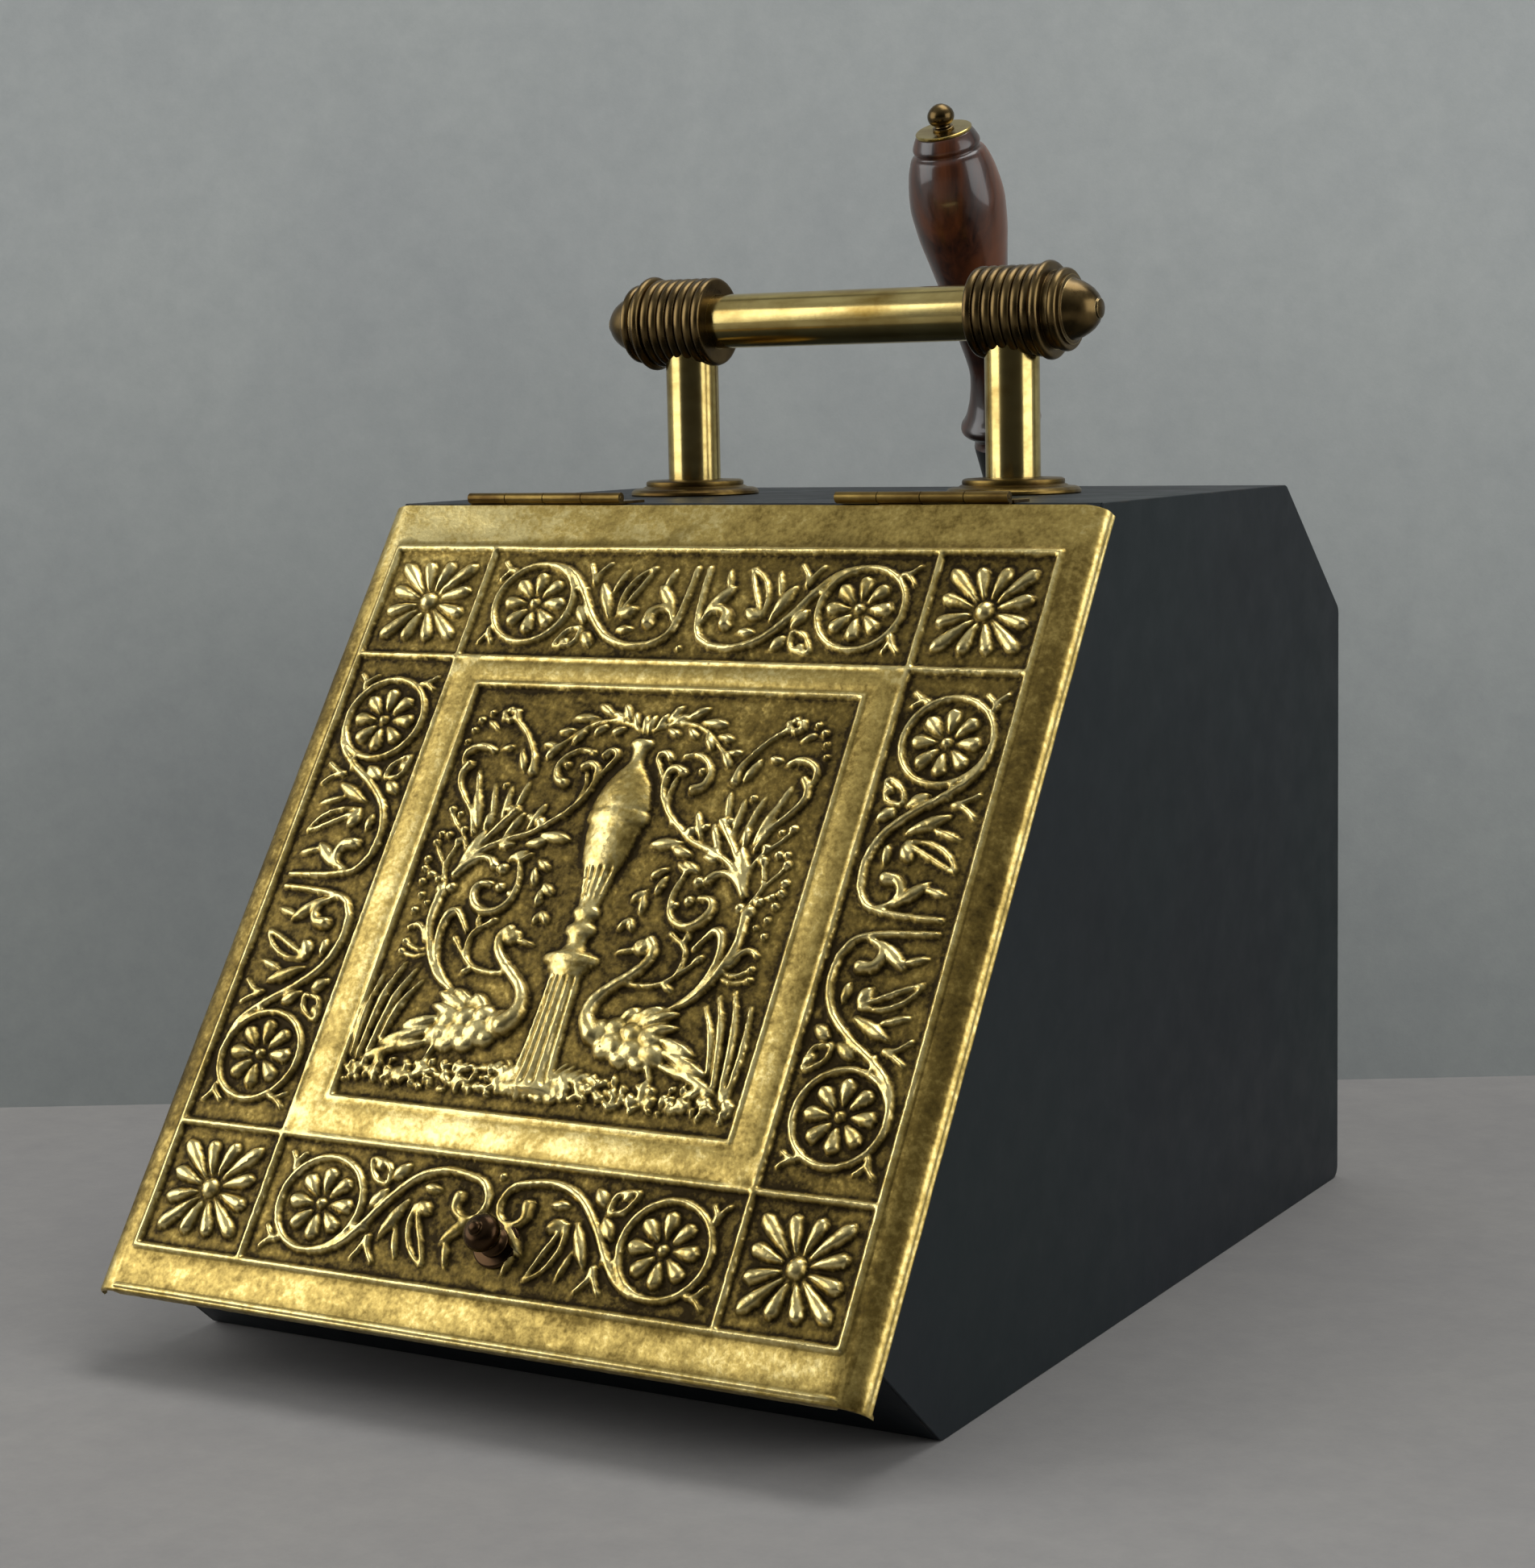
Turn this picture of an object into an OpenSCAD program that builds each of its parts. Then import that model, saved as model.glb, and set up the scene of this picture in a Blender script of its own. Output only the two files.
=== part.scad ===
// Sloping-front coal scuttle: sheet-iron case, pressed brass lid, brass carrying
// handle and a lift-out coal shovel at the back. Millimetres, +Z up, the lid
// faces -Y. The origin is the centre of the flat base, on the floor.

/* [Case] */
// Width of the case across its side sheets
case_w = 293; // [260:1:340]
// Height of the case from the floor to its top sheet
case_h = 289; // [270:1:320]
// Depth of the flat base from front to back
base_d = 369.5; // [350:0.5:400]
// Depth of the top sheet from the lid line to the rear slope
top_d = 180.8; // [170:0.1:195]
// How far the rear slope runs back
slope_d = 60.5; // [45:0.5:70]
// How far the rear slope drops
slope_h = 52; // [40:1:55]
// Angle of the toe above the floor
toe_angle = 40; // [34:0.5:48]
// Thickness of the case sheets
case_sheet = 1.2; // [0.8:0.1:1.6]
// Outside radius of the bends in the case sheets
bend_r = 5; // [3:0.5:8]
// Width of the soldered laps inside the side sheets
lap_w = 10; // [6:1:14]
// Height of the seam across the back
seam_h = 20; // [16:1:26]
// Height of the strip that backs the seam
seam_strip_h = 24; // [20:1:28]

/* [Mouth frame] */
// Thickness of the frame that the lid closes on
frame_t = 1.5; // [1:0.1:2]
// Width of the frame's face
frame_w = 12; // [9:1:15]
// Depth of the frame's legs inside the case
frame_leg = 10; // [7:1:14]

/* [Lid] */
// Slope of the lid above the floor
lid_angle = 54.3; // [52:0.1:57]
// How far the lid hangs below the mouth
lid_over = 16.2; // [8:0.1:20]
// How far the lid stands out past each side of the case
lid_side = 3.5; // [3:0.1:5]
// Thickness of the brass skin
skin_t = 1; // [0.8:0.1:1.3]
// Thickness of the iron plate behind the skin
back_t = 1; // [0.8:0.1:1.5]
// Width of the rolled edge at each side
roll_w = 9.6; // [9:0.1:12]
// Drop of the rolled edge at each side
roll_drop = 6; // [5.5:0.1:7]
// Depth of the lip turned down along the lower edge
lip_drop = 4; // [2.5:0.1:5]
// Height of the beaded lines above the skin
bead_h = 1.3; // [0.8:0.1:1.8]
// Margin from the side of the lid to the outer beaded line
margin_side = 12.4; // [12:0.1:16]
// Margin from the top of the lid to the outer beaded line
margin_top = 19.9; // [16:0.1:24]
// Margin from the foot of the lid to the outer beaded line
margin_foot = 17.2; // [14:0.1:22]
// Width of the ornament border at the sides
border_side = 44.6; // [38:0.1:48]
// Width of the ornament border at the top
border_top = 47.2; // [40:0.1:50]
// Width of the ornament border at the foot
border_foot = 46.5; // [40:0.1:50]
// Width of the smooth band at the sides of the centre panel
band_side = 13.4; // [10:0.1:16]
// Width of the smooth band over the centre panel
band_top = 11; // [9:0.1:14]
// Width of the smooth band under the centre panel
band_foot = 14.6; // [10:0.1:17]
// Height of the smooth band above the skin
band_h = 1.8; // [1:0.1:2.2]
// Height of the flat ornaments above the skin
relief_h = 1.1; // [0.6:0.1:1.6]
// Radius of the ring round each daisy
ring_r = 17; // [14:0.5:18]
// Distance from each end of a border to the middle of its ring
ring_off = 26; // [22:0.5:32]

/* [Lid knob] */
// Distance of the knob to the right of the lid's middle
knob_x = 6; // [-20:1:20]
// Distance of the knob above the mouth frame's lower bar
knob_off = 6.8; // [6:0.1:20]
// Greatest radius of the knob
knob_r = 6.5; // [5:0.5:9]
// Height of the knob above its rose
knob_h = 15; // [12:0.5:20]
// Radius of the rose under the knob
knob_rose_r = 8.5; // [7:0.5:11]
// Radius of the stud that holds the knob
knob_stud_r = 1.5; // [1.2:0.1:2]

/* [Hinges] */
// Distance from the middle of the lid to the inner end of each hinge
hinge_in = 45; // [35:1:52]
// Length of each hinge
hinge_len = 68; // [56:1:76]
// Radius of the hinge barrel
barrel_r = 2; // [1.8:0.1:2.1]
// Radius of the hinge pin
pin_r = 0.8; // [0.6:0.1:1]
// Thickness of the hinge leaves
leaf_t = 1; // [0.8:0.1:1.1]
// Depth of the leaf on the top sheet
leaf_d = 16; // [12:1:20]
// Depth of the leaf inside the lid
lid_leaf_d = 14; // [10:1:16]

/* [Handle] */
// Distance from the lid line back to the handle
handle_back = 94.8; // [84:0.1:102]
// Distance between the centres of the two posts
post_pitch = 140; // [120:1:160]
// Radius of the posts
post_r = 10.4; // [8:0.1:11]
// Height of the bar's axis above the top sheet
bar_rise = 68; // [60:1:85]
// Radius of the bar
bar_r = 10.5; // [9:0.1:11.5]
// Wall of the bar and of the posts
tube_wall = 1.8; // [1.2:0.1:2.5]
// Distance from the post's centre to the collar's inner end
collar_in = 13; // [12:0.5:18]
// Number of small reeds on each collar
reed_count = 7; // [5:1:9]
// Pitch of the reeds
reed_pitch = 3.9; // [3.4:0.1:4.4]
// Radius over the reeds
reed_r = 17.2; // [16:0.1:18.5]
// Depth of the grooves between the reeds
reed_depth = 1.3; // [0.8:0.1:1.6]
// Radius over the large ring at the collar's outer end
big_ring_r = 18.5; // [17.5:0.1:20]
// Width of the large ring
big_ring_w = 3.8; // [3:0.1:5]
// Width of the groove between the large ring and the last one
groove_w = 2.6; // [1.5:0.1:4]
// Width of the last ring
end_ring_w = 3.6; // [2.5:0.1:5]
// Length of each acorn cap
cap_len = 12.6; // [11:0.1:18]
// Radius of the acorn cap at its root
cap_r = 13; // [11:0.5:14]
// Radius of the rose under each post
rose_r = 25.5; // [21:0.5:28]
// Radius of the upper step of the rose
rose_step_r = 19.5; // [16:0.5:20.5]
// Height of the rose
rose_h = 6; // [5:0.5:9]
// Radius of the studs inside the posts
stud_r = 3; // [2.5:0.1:3.5]
// Thickness of the plate that stiffens the top sheet
stiffener_t = 2; // [1.5:0.1:3]
// Width of the stiffening plate
stiffener_d = 44; // [36:1:52]

/* [Liner] */
// Height of the lift-out liner at the back
liner_h = 205; // [170:1:215]
// Thickness of the liner sheet
liner_t = 0.8; // [0.6:0.1:1.2]
// Space between the liner and the sheets beside it
liner_gap = 1.5; // [1:0.1:3]
// Width of the liner's grip
grip_w = 90; // [70:1:120]
// How far the liner's grip stands off its back wall
grip_off = 22; // [18:1:28]

/* [Shovel] */
// Width of the shovel's scoop
scoop_w = 112; // [90:1:130]
// Length of the scoop from its lip to its back wall
scoop_len = 148; // [130:1:155]
// Depth of the scoop at its back wall
scoop_d = 43; // [41:1:48]
// Depth of the scoop at its lip
scoop_lip = 11; // [9:1:16]
// Thickness of the scoop sheet
scoop_t = 1.5; // [1:0.1:2]
// Distance from the scoop's open side to the socket's axis
socket_off = 32.8; // [30:0.1:35]
// Space between the scoop's open side and the back of the case
scoop_stand = 4; // [3.8:0.1:6]
// Forward lean of the shovel's handle
lean = 23.4; // [20:0.1:26]
// Length of the iron socket
socket_len = 107.6; // [100:0.1:112]
// Radius of the socket at its foot
socket_foot_r = 6; // [5:0.1:6.5]
// Radius of the socket at its mouth
socket_top_r = 13.2; // [12:0.1:14]
// Wall of the socket round the grip's tang
socket_wall = 2; // [1.5:0.1:2.5]
// Width of the socket's foot on the scoop
foot_w = 42; // [36:1:54]
// Depth of the socket's foot on the scoop
foot_d = 18; // [16:1:22]
// Thickness of the socket's foot
foot_t = 2; // [1.5:0.1:2.5]
// Length of the grip's tang inside the socket
tang_len = 42; // [30:1:50]
// Length of the wooden grip above the socket
grip_len = 137; // [120:1:150]
// Greatest radius of the grip
belly_r = 19.6; // [17:0.1:21]
// Radius of the grip at its neck
neck_r = 9; // [8:0.1:11]
// Radius of the bead over the socket
grip_bead_r = 17.2; // [15:0.1:18.5]
// Radius of the grip's flat top
grip_top_r = 11.6; // [10:0.1:13]
// Radius of the ball finial
finial_r = 5.5; // [4.5:0.1:7]
// Radius of the rod through the grip
rod_r = 2.5; // [2:0.1:3]

/* [Shovel bracket] */
// Height of the shoe's underside above the floor
shoe_z = 58.5; // [50:0.5:66]
// Height of the shoe
shoe_h = 18; // [14:1:20]
// Thickness of the bracket iron
bracket_t = 1.2; // [1:0.1:1.6]
// Space round the scoop in the shoe
shoe_gap = 1; // [0.6:0.1:2]
// Thickness of the fork
fork_t = 2.5; // [2:0.1:3]
// Width of the fork
fork_w = 40; // [34:1:48]
// Depth of the fork's flange down the back
fork_flange = 18; // [14:1:22]
// Space round the socket in the fork
fork_gap = 1.6; // [1:0.1:2.5]

/* [Fits] */
// Running clearance on the hinge pins, on the radius
pin_clear = 0.05; // [0.02:0.01:0.08]
// Clearance of fixed pieces in their holes, on the radius
hole_clear = 0.1; // [0.05:0.01:0.2]
// Gap where the lid and the shovel rest
seat_gap = 0.3; // [0.2:0.05:0.5]
// Gap between the ends of hinge knuckles
knuckle_gap = 0.3; // [0.2:0.05:0.5]
// Radius of the rivets
rivet_r = 1.5; // [1.2:0.1:2]

/* [Hidden] */

iron_black = [0.14, 0.17, 0.18];
iron_grey = [0.3, 0.31, 0.32];
brass = [0.66, 0.56, 0.28];
brass_bright = [0.8, 0.68, 0.34];
bronze = [0.32, 0.26, 0.18];
zinc = [0.6, 0.62, 0.63];
mahogany = [0.3, 0.14, 0.09];

far = 700;                       // a length beyond the whole object
cut = 0.5;                       // how far a cutting solid runs past a face
round_seg = 6;                   // straight steps in each bend
inner_x = case_w / 2 - case_sheet;
back_y = base_d / 2;
slope_y = back_y - slope_d;
front_y = slope_y - top_d;
lid_w = case_w + 2 * lid_side;
frame_n = -(skin_t + back_t + seat_gap);
mouth_n = frame_n - frame_t;
open_n = 60;                     // level above the mouth where an inner outline ends

// Unit vectors down the lid and out of it, in (y, z)
down = [-cos(lid_angle), -sin(lid_angle)];
out = [-sin(lid_angle), cos(lid_angle)];

// ---- outline of the case in (y, z) ----

// A wall is [unit normal, distance]; t moves it inwards
function wall_top(t) = [[0, 1], case_h - t];
function slope_nrm() = [slope_h, slope_d] / norm([slope_h, slope_d]);
function wall_slope(t) = [slope_nrm(), slope_nrm() * [slope_y, case_h] - t];
function wall_back(t) = [[1, 0], back_y - t];
function wall_base(t) = [[0, -1], -t];
function toe_nrm() = [-sin(toe_angle), -cos(toe_angle)];
function wall_toe(t) = [toe_nrm(), back_y * sin(toe_angle) - t];
function wall_mouth(n) = [out, out * [front_y, case_h] + n];
// The point where two walls meet
function meet(a, b) =
    let (det = a[0][0] * b[0][1] - a[0][1] * b[0][0])
    [(a[1] * b[0][1] - b[1] * a[0][1]) / det, (a[0][0] * b[1] - b[0][0] * a[1]) / det];
function corners(t, n) = [
    meet(wall_mouth(n), wall_top(t)), meet(wall_top(t), wall_slope(t)),
    meet(wall_slope(t), wall_back(t)), meet(wall_back(t), wall_base(t)),
    meet(wall_base(t), wall_toe(t)), meet(wall_toe(t), wall_mouth(n))];
// The points of a corner at p rounded with radius r
function fillet(a, p, b, r) =
    let (u = (a - p) / norm(a - p), w = (b - p) / norm(b - p),
         half = acos(u * w) / 2,
         mid = p + (u + w) / norm(u + w) * r / sin(half),
         from = p + u * r / tan(half) - mid,
         sweep = 180 - 2 * half)
    [for (i = [0 : round_seg])
        let (g = -sweep * i / round_seg)
        mid + [from[0] * cos(g) - from[1] * sin(g), from[0] * sin(g) + from[1] * cos(g)]];
function outline(t, n) =
    let (c = corners(t, n), r = max(bend_r - t, 0.6))
    concat([c[0]], fillet(c[0], c[1], c[2], r), fillet(c[1], c[2], c[3], r),
        fillet(c[2], c[3], c[4], r), fillet(c[3], c[4], c[5], r), [c[5]]);
// Distance down the lid of a point (y, z)
function along(p) = (p - [front_y, case_h]) * down;
mouth_v = along(meet(wall_mouth(frame_n), wall_toe(0)));    // the mouth's lower edge
lid_len = mouth_v + lid_over;
knob_v = mouth_v - frame_w - knob_off;

// Draws a (y, z) outline as a solid from x0 across width w
module across(x0, w) {
    translate([x0, 0, 0]) rotate([90, 0, 90]) linear_extrude(w) children();
}

// Places children drawn on the lid: x across, -y down the slope, z outwards
module on_lid() {
    translate([0, front_y, case_h]) rotate([lid_angle, 0, 0]) children();
}

// Wall of the case between two depths, its ends cut at level n under the lid
module shell_2d(t0, t1, n) {
    difference() {
        polygon(outline(t0, n));
        polygon(outline(t1, open_n));
    }
}

// The base, the toe and the low strip of the back
module base_zone() {
    translate([-far, -far]) square([2 * far, far + seam_h]);
    translate([-far, -far]) square([far - base_d / 4, far + case_h / 2]);
}

// ---- case ----

module side_panel(side) {
    x0 = side > 0 ? inner_x : -case_w / 2;
    color(iron_black) across(x0, case_sheet) polygon(outline(0, mouth_n));
}

lap_clear = 0.5;                 // the laps stop this far under the frame's legs
lap_n = mouth_n - frame_leg - lap_clear;

module wrapped_sheet() {
    across(-inner_x, 2 * inner_x) intersection() {
        shell_2d(0, case_sheet, mouth_n);
        children();
    }
    for (x0 = [-inner_x, inner_x - case_sheet])
        across(x0, case_sheet) intersection() {
            shell_2d(case_sheet / 2, case_sheet + lap_w, lap_n);
            children();
        }
}

seam_rivet_n = 5;
seam_rivet_z = seam_h + seam_strip_h / 4;
function spread(n, span) = [for (i = [0 : n - 1]) -span / 2 + span * i / (n - 1)];
seam_xs = spread(seam_rivet_n, case_w - 60);

// A round hole through the back wall at (x, z)
module back_hole(x, z, r) {
    translate([x, back_y + far / 10, z]) rotate([90, 0, 0]) cylinder(r = r, h = far / 5, $fn = 24);
}

module back_sheet() {
    color(iron_black) difference() {
        wrapped_sheet() difference() {
            square(2 * far, center = true);
            base_zone();
        }
        for (x = seam_xs) back_hole(x, seam_rivet_z, rivet_r + hole_clear);
        bracket_holes();
        for (x = post_xs) translate([x, handle_y, case_h - far / 10])
            cylinder(r = stud_r + hole_clear, h = far / 5, $fn = 32);
        for (x = leaf_rivet_xs) leaf_rivet_hole(x);
    }
}

strip_x = inner_x - case_sheet - seat_gap;

// Strip behind the seam, from depth t0 in the wall and over height h
module seam_strip(t0, h) {
    across(-strip_x, 2 * strip_x) intersection() {
        shell_2d(t0, 2 * case_sheet, lap_n);
        translate([0, seam_h - seam_strip_h / 2]) square([far, h]);
    }
}

module base_sheet() {
    color(iron_black) difference() {
        union() {
            wrapped_sheet() base_zone();
            seam_strip(case_sheet, seam_strip_h);
            seam_strip(case_sheet / 2, seam_strip_h / 2);    // up to the seam it is part of this wall
        }
        for (x = seam_xs) back_hole(x, seam_rivet_z, rivet_r + hole_clear);
    }
}

// A domed rivet along +Z: its head stands on z = 0, its shank runs down by grip
dome_r = 1.9;                    // head radius as a multiple of the shank's
dome_h = 0.9;                    // head height as a multiple of the shank's radius
module rivet(grip, r = rivet_r) {
    tail = 0.5 * r;
    rotate_extrude($fn = 24) polygon(concat(
        [[0, -grip - tail], [1.4 * r, -grip - tail], [1.4 * r, -grip], [r, -grip], [r, 0]],
        [for (g = [0 : 15 : 90]) [dome_r * r * cos(g), dome_h * r * sin(g)]]));
}

module back_rivet(x, z, grip, face_y) {
    translate([x, face_y, z]) rotate([-90, 0, 0]) rivet(grip);
}

module seam_rivets() {
    color(iron_black) for (x = seam_xs) back_rivet(x, seam_rivet_z, 2 * case_sheet, back_y);
}

// The frame's face and the legs behind it, before drilling
module frame_iron() {
    top_v = along(meet(wall_mouth(frame_n), wall_top(case_sheet)));
    foot_v = along(meet(wall_mouth(frame_n), wall_toe(case_sheet)));
    leg_n = mouth_n - frame_leg;
    leg_top_n = mouth_n + frame_t / 2;      // the legs run up into the face
    difference() {
        across(-inner_x, 2 * inner_x) difference() {
            polygon(outline(case_sheet, frame_n));
            polygon(outline(-far / 10, mouth_n));
        }
        on_lid() translate([-inner_x + frame_w, -foot_v + frame_w, mouth_n - cut])
            cube([2 * (inner_x - frame_w), foot_v - top_v - 2 * frame_w, frame_t + 2 * cut]);
    }
    across(-inner_x, 2 * inner_x) difference() {
        shell_2d(case_sheet, 2 * case_sheet, leg_top_n);
        polygon(outline(-far / 10, leg_n));
    }
    for (x0 = [-inner_x, inner_x - case_sheet])
        across(x0, case_sheet) difference() {
            polygon(outline(case_sheet, leg_top_n));
            polygon(outline(-far / 10, leg_n));
        }
}

// The hinges' rivets pass through the top sheet and the frame's upper leg
module mouth_frame() {
    color(iron_black) difference() {
        frame_iron();
        for (x = leaf_rivet_xs) leaf_rivet_hole(x);
    }
}

// ---- liner ----

liner_x = inner_x - case_sheet - liner_gap;
liner_in = 2 * case_sheet + liner_gap;      // inset of the liner from the case outline
liner_drop = 4;                              // space between the laps' ends and the liner's rim
liner_n = lap_n - liner_drop;
liner_back_y = back_y - liner_in - liner_t;

// The liner's bends are as wide as the case's, so that it clears the corners of the sheets
function liner_outline(t, n, top) =
    let (rim = wall_top(case_h - top), base = wall_base(case_sheet + t),
         back = wall_back(liner_in + t), toe = wall_toe(liner_in + t),
         a = meet(back, rim), b = meet(back, base), c = meet(base, toe), d = meet(toe, wall_mouth(n)))
    concat([meet(wall_mouth(n), rim), a], fillet(a, b, c, bend_r - t), fillet(b, c, d, bend_r - t), [d]);

liner_grip_z = liner_h - 22;
liner_grip_h = 14;
grip_strap_t = 2;
grip_foot = 16;                  // length of the grip's riveted feet
liner_rivet_xs = [-grip_w / 2 + grip_foot / 2, grip_w / 2 - grip_foot / 2];

module liner() {
    color(zinc) difference() {
        across(-liner_x, 2 * liner_x) polygon(liner_outline(0, liner_n, liner_h));
        across(-liner_x + liner_t, 2 * (liner_x - liner_t))
            polygon(liner_outline(liner_t, open_n, case_h));
        for (x = liner_rivet_xs) back_hole(x, liner_grip_z, rivet_r + hole_clear);
    }
}

module liner_grip() {
    color(zinc) difference() {
        translate([0, liner_back_y, liner_grip_z - liner_grip_h / 2]) linear_extrude(liner_grip_h)
            difference() {
                translate([-grip_w / 2, -grip_off]) square([grip_w, grip_off]);
                translate([-grip_w / 2 + grip_foot, -grip_off + grip_strap_t])
                    square([grip_w - 2 * grip_foot, grip_off]);
                for (s = [-1, 1]) translate([s * (grip_w / 2 - grip_foot / 2 + grip_strap_t / 2), 0])
                    translate([-grip_foot / 2 - (s > 0 ? 0 : cut), -grip_off - cut])
                        square([grip_foot + cut - grip_strap_t / 2, grip_off - grip_strap_t + cut]);
            }
        for (x = liner_rivet_xs) back_hole(x, liner_grip_z, rivet_r + hole_clear);
    }
}

module liner_rivets() {
    color(zinc) for (x = liner_rivet_xs)
        translate([x, liner_back_y - grip_strap_t, liner_grip_z])
            rotate([90, 0, 0]) rivet(grip_strap_t + liner_t);
}

// ---- handle ----

handle_y = front_y + handle_back;
bar_z = case_h + bar_rise;
post_xs = [-post_pitch / 2, post_pitch / 2];
collar_x0 = post_pitch / 2 - collar_in;     // inner end of the collar
collar_a1 = reed_count * reed_pitch;        // end of the small reeds, from collar_x0
collar_a2 = collar_a1 + big_ring_w;         // end of the large ring
collar_a3 = collar_a2 + groove_w;           // end of the groove beside it
collar_len = collar_a3 + end_ring_w;        // end of the last ring
collar_neck_r = reed_r - 2.7;
end_ring_r = reed_r - 1.6;
cap_x0 = collar_x0 + collar_len;
bar_end = cap_x0 - hole_clear;
rose_seat = 3;                              // depth of the post's seat in the rose
post_z0 = case_h + rose_h - rose_seat;
collar_floor = 1.8;                         // metal left between the post's top and the bar
post_z1 = bar_z - bar_r - hole_clear - collar_floor;
tie_r = 4;                                  // tie rod radius
stud_z1 = bar_z - tie_r - 2 * hole_clear;
tie_end = cap_x0 + cap_len * 0.45;
washer_t = 1.5;
nut_h = 5;
washer_z = case_h - case_sheet - stiffener_t - washer_t;
nut_z = washer_z - nut_h;
thread_past = 2;                            // thread that stands out of the nuts
stud_z0 = nut_z - thread_past;

// One rounded ring of the collar, as points from a0 across width w
function reed(a0, w, r, d) = [for (i = [0 : 5])
    let (g = 180 * i / 5) [r - d + d * sin(g), a0 + w / 2 - w / 2 * cos(g)]];

module collar(side) {
    color(bronze) difference() {
        translate([side * collar_x0, handle_y, bar_z]) rotate([0, side * 90, 0])
            rotate_extrude($fn = 64) polygon(concat([[bar_r + hole_clear, 0]],
                [for (i = [0 : reed_count - 1])
                    each reed(i * reed_pitch + 0.05, reed_pitch - 0.1, reed_r, reed_depth)],
                reed(collar_a1 + 0.05, big_ring_w - 0.1, big_ring_r, 2),
                [[collar_neck_r, collar_a2], [collar_neck_r, collar_a3]],
                reed(collar_a3, end_ring_w, end_ring_r, 1.1),
                [[bar_r + hole_clear, collar_len]]));
        translate([side * post_pitch / 2, handle_y, 0])
            cylinder(r = post_r + hole_clear, h = post_z1, $fn = 64);
        translate([side * post_pitch / 2, handle_y, 0])
            cylinder(r = stud_r + hole_clear, h = bar_z, $fn = 32);
    }
}

module post(side) {
    color(brass_bright) translate([side * post_pitch / 2, handle_y, post_z0]) difference() {
        cylinder(r = post_r, h = post_z1 - post_z0, $fn = 64);
        translate([0, 0, -cut])
            cylinder(r = post_r - tube_wall, h = post_z1 - post_z0 + 2 * cut, $fn = 64);
    }
}

module rose(side) {
    base_h = rose_h * 0.42;
    color(brass_bright) translate([side * post_pitch / 2, handle_y, case_h]) difference() {
        rotate_extrude($fn = 64) polygon(concat([[0, 0], [rose_r - 0.6, 0]],
            [for (g = [-60 : 30 : 90])
                [rose_r - base_h / 2 + base_h / 2 * cos(g), base_h / 2 + base_h / 2 * sin(g)]],
            [[rose_step_r + 1.4, base_h], [rose_step_r - 0.4, base_h + 1.1]],
            [for (g = [-60 : 30 : 90])
                [rose_step_r - 1 + cos(g), rose_h - 1 + sin(g)]],
            [[0, rose_h]]));
        translate([0, 0, rose_h - rose_seat])
            cylinder(r = post_r + hole_clear, h = rose_h, $fn = 64);
        translate([0, 0, -cut]) cylinder(r = stud_r + hole_clear, h = 2 * rose_h, $fn = 32);
    }
}

module handle_bar() {
    color(brass_bright) difference() {
        translate([-bar_end, handle_y, bar_z]) rotate([0, 90, 0])
            cylinder(r = bar_r, h = 2 * bar_end, $fn = 64);
        translate([-bar_end - cut, handle_y, bar_z]) rotate([0, 90, 0])
            cylinder(r = bar_r - tube_wall, h = 2 * (bar_end + cut), $fn = 64);
        for (x = post_xs) translate([x, handle_y, 0])
            cylinder(r = stud_r + hole_clear, h = bar_z, $fn = 32);
    }
}

module tie_rod() {
    color(iron_grey) translate([-tie_end, handle_y, bar_z]) rotate([0, 90, 0])
        cylinder(r = tie_r, h = 2 * tie_end, $fn = 32);
}

module cap(side) {
    shoulder = cap_len * 0.28;
    shoulder_r = cap_r * 0.8;
    color(bronze) difference() {
        translate([side * cap_x0, handle_y, bar_z]) rotate([0, side * 90, 0])
            rotate_extrude($fn = 64) polygon(concat([[0, 0], [cap_r, 0], [cap_r, 0.8]],
                [for (g = [0 : 15 : 90])
                    [shoulder_r * cos(g), shoulder + (cap_len - shoulder) * sin(g)]]));
        translate([0, handle_y, bar_z]) rotate([0, side * 90, 0])
            cylinder(r = tie_r + hole_clear, h = tie_end + hole_clear, $fn = 32);
    }
}

module post_studs() {
    color(iron_grey) for (x = post_xs) translate([x, handle_y, stud_z0])
        cylinder(r = stud_r, h = stud_z1 - stud_z0, $fn = 32);
}

module stud_ring(z, h, r, sides) {
    for (x = post_xs) translate([x, handle_y, z]) difference() {
        cylinder(r = r, h = h, $fn = sides);
        translate([0, 0, -cut]) cylinder(r = stud_r + hole_clear, h = h + 2 * cut, $fn = 32);
    }
}

module stud_washers() { color(iron_grey) stud_ring(washer_z, washer_t, 2.6 * stud_r, 48); }
module stud_nuts() { color(iron_grey) stud_ring(nut_z, nut_h, 1.95 * stud_r, 6); }

module stiffener() {
    past = stiffener_d / 2;      // how far it runs past each post
    color(iron_black) difference() {
        translate([-post_pitch / 2 - past, handle_y - stiffener_d / 2,
            case_h - case_sheet - stiffener_t])
            cube([post_pitch + 2 * past, stiffener_d, stiffener_t]);
        for (x = post_xs) translate([x, handle_y, 0])
            cylinder(r = stud_r + hole_clear, h = case_h, $fn = 32);
    }
}

// ---- hinges ----

pin_set = 0.5;                   // the hinge axis lies this far behind the lid line
barrel_lift = 0.2;               // space between the barrels and the top sheet
pin_y = front_y + pin_set;
pin_z = case_h + barrel_r + barrel_lift;
knuckles = 4;
knuckle_w = hinge_len / knuckles;
lid_edge_v = 0.5;                // the lid starts this far below its top line
leaf_back = barrel_r + 1.4;      // the fixed leaf keeps this far from moving knuckles
leaf_rivet_n = 3;
leaf_rivet_r = 1.2;
leaf_rivet_y = pin_y + (leaf_back + leaf_d) / 2;
leaf_rivet_xs = [for (s = [-1, 1]) for (x = spread(leaf_rivet_n, hinge_len - 16))
    s * (hinge_in + hinge_len / 2) + x];

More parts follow.
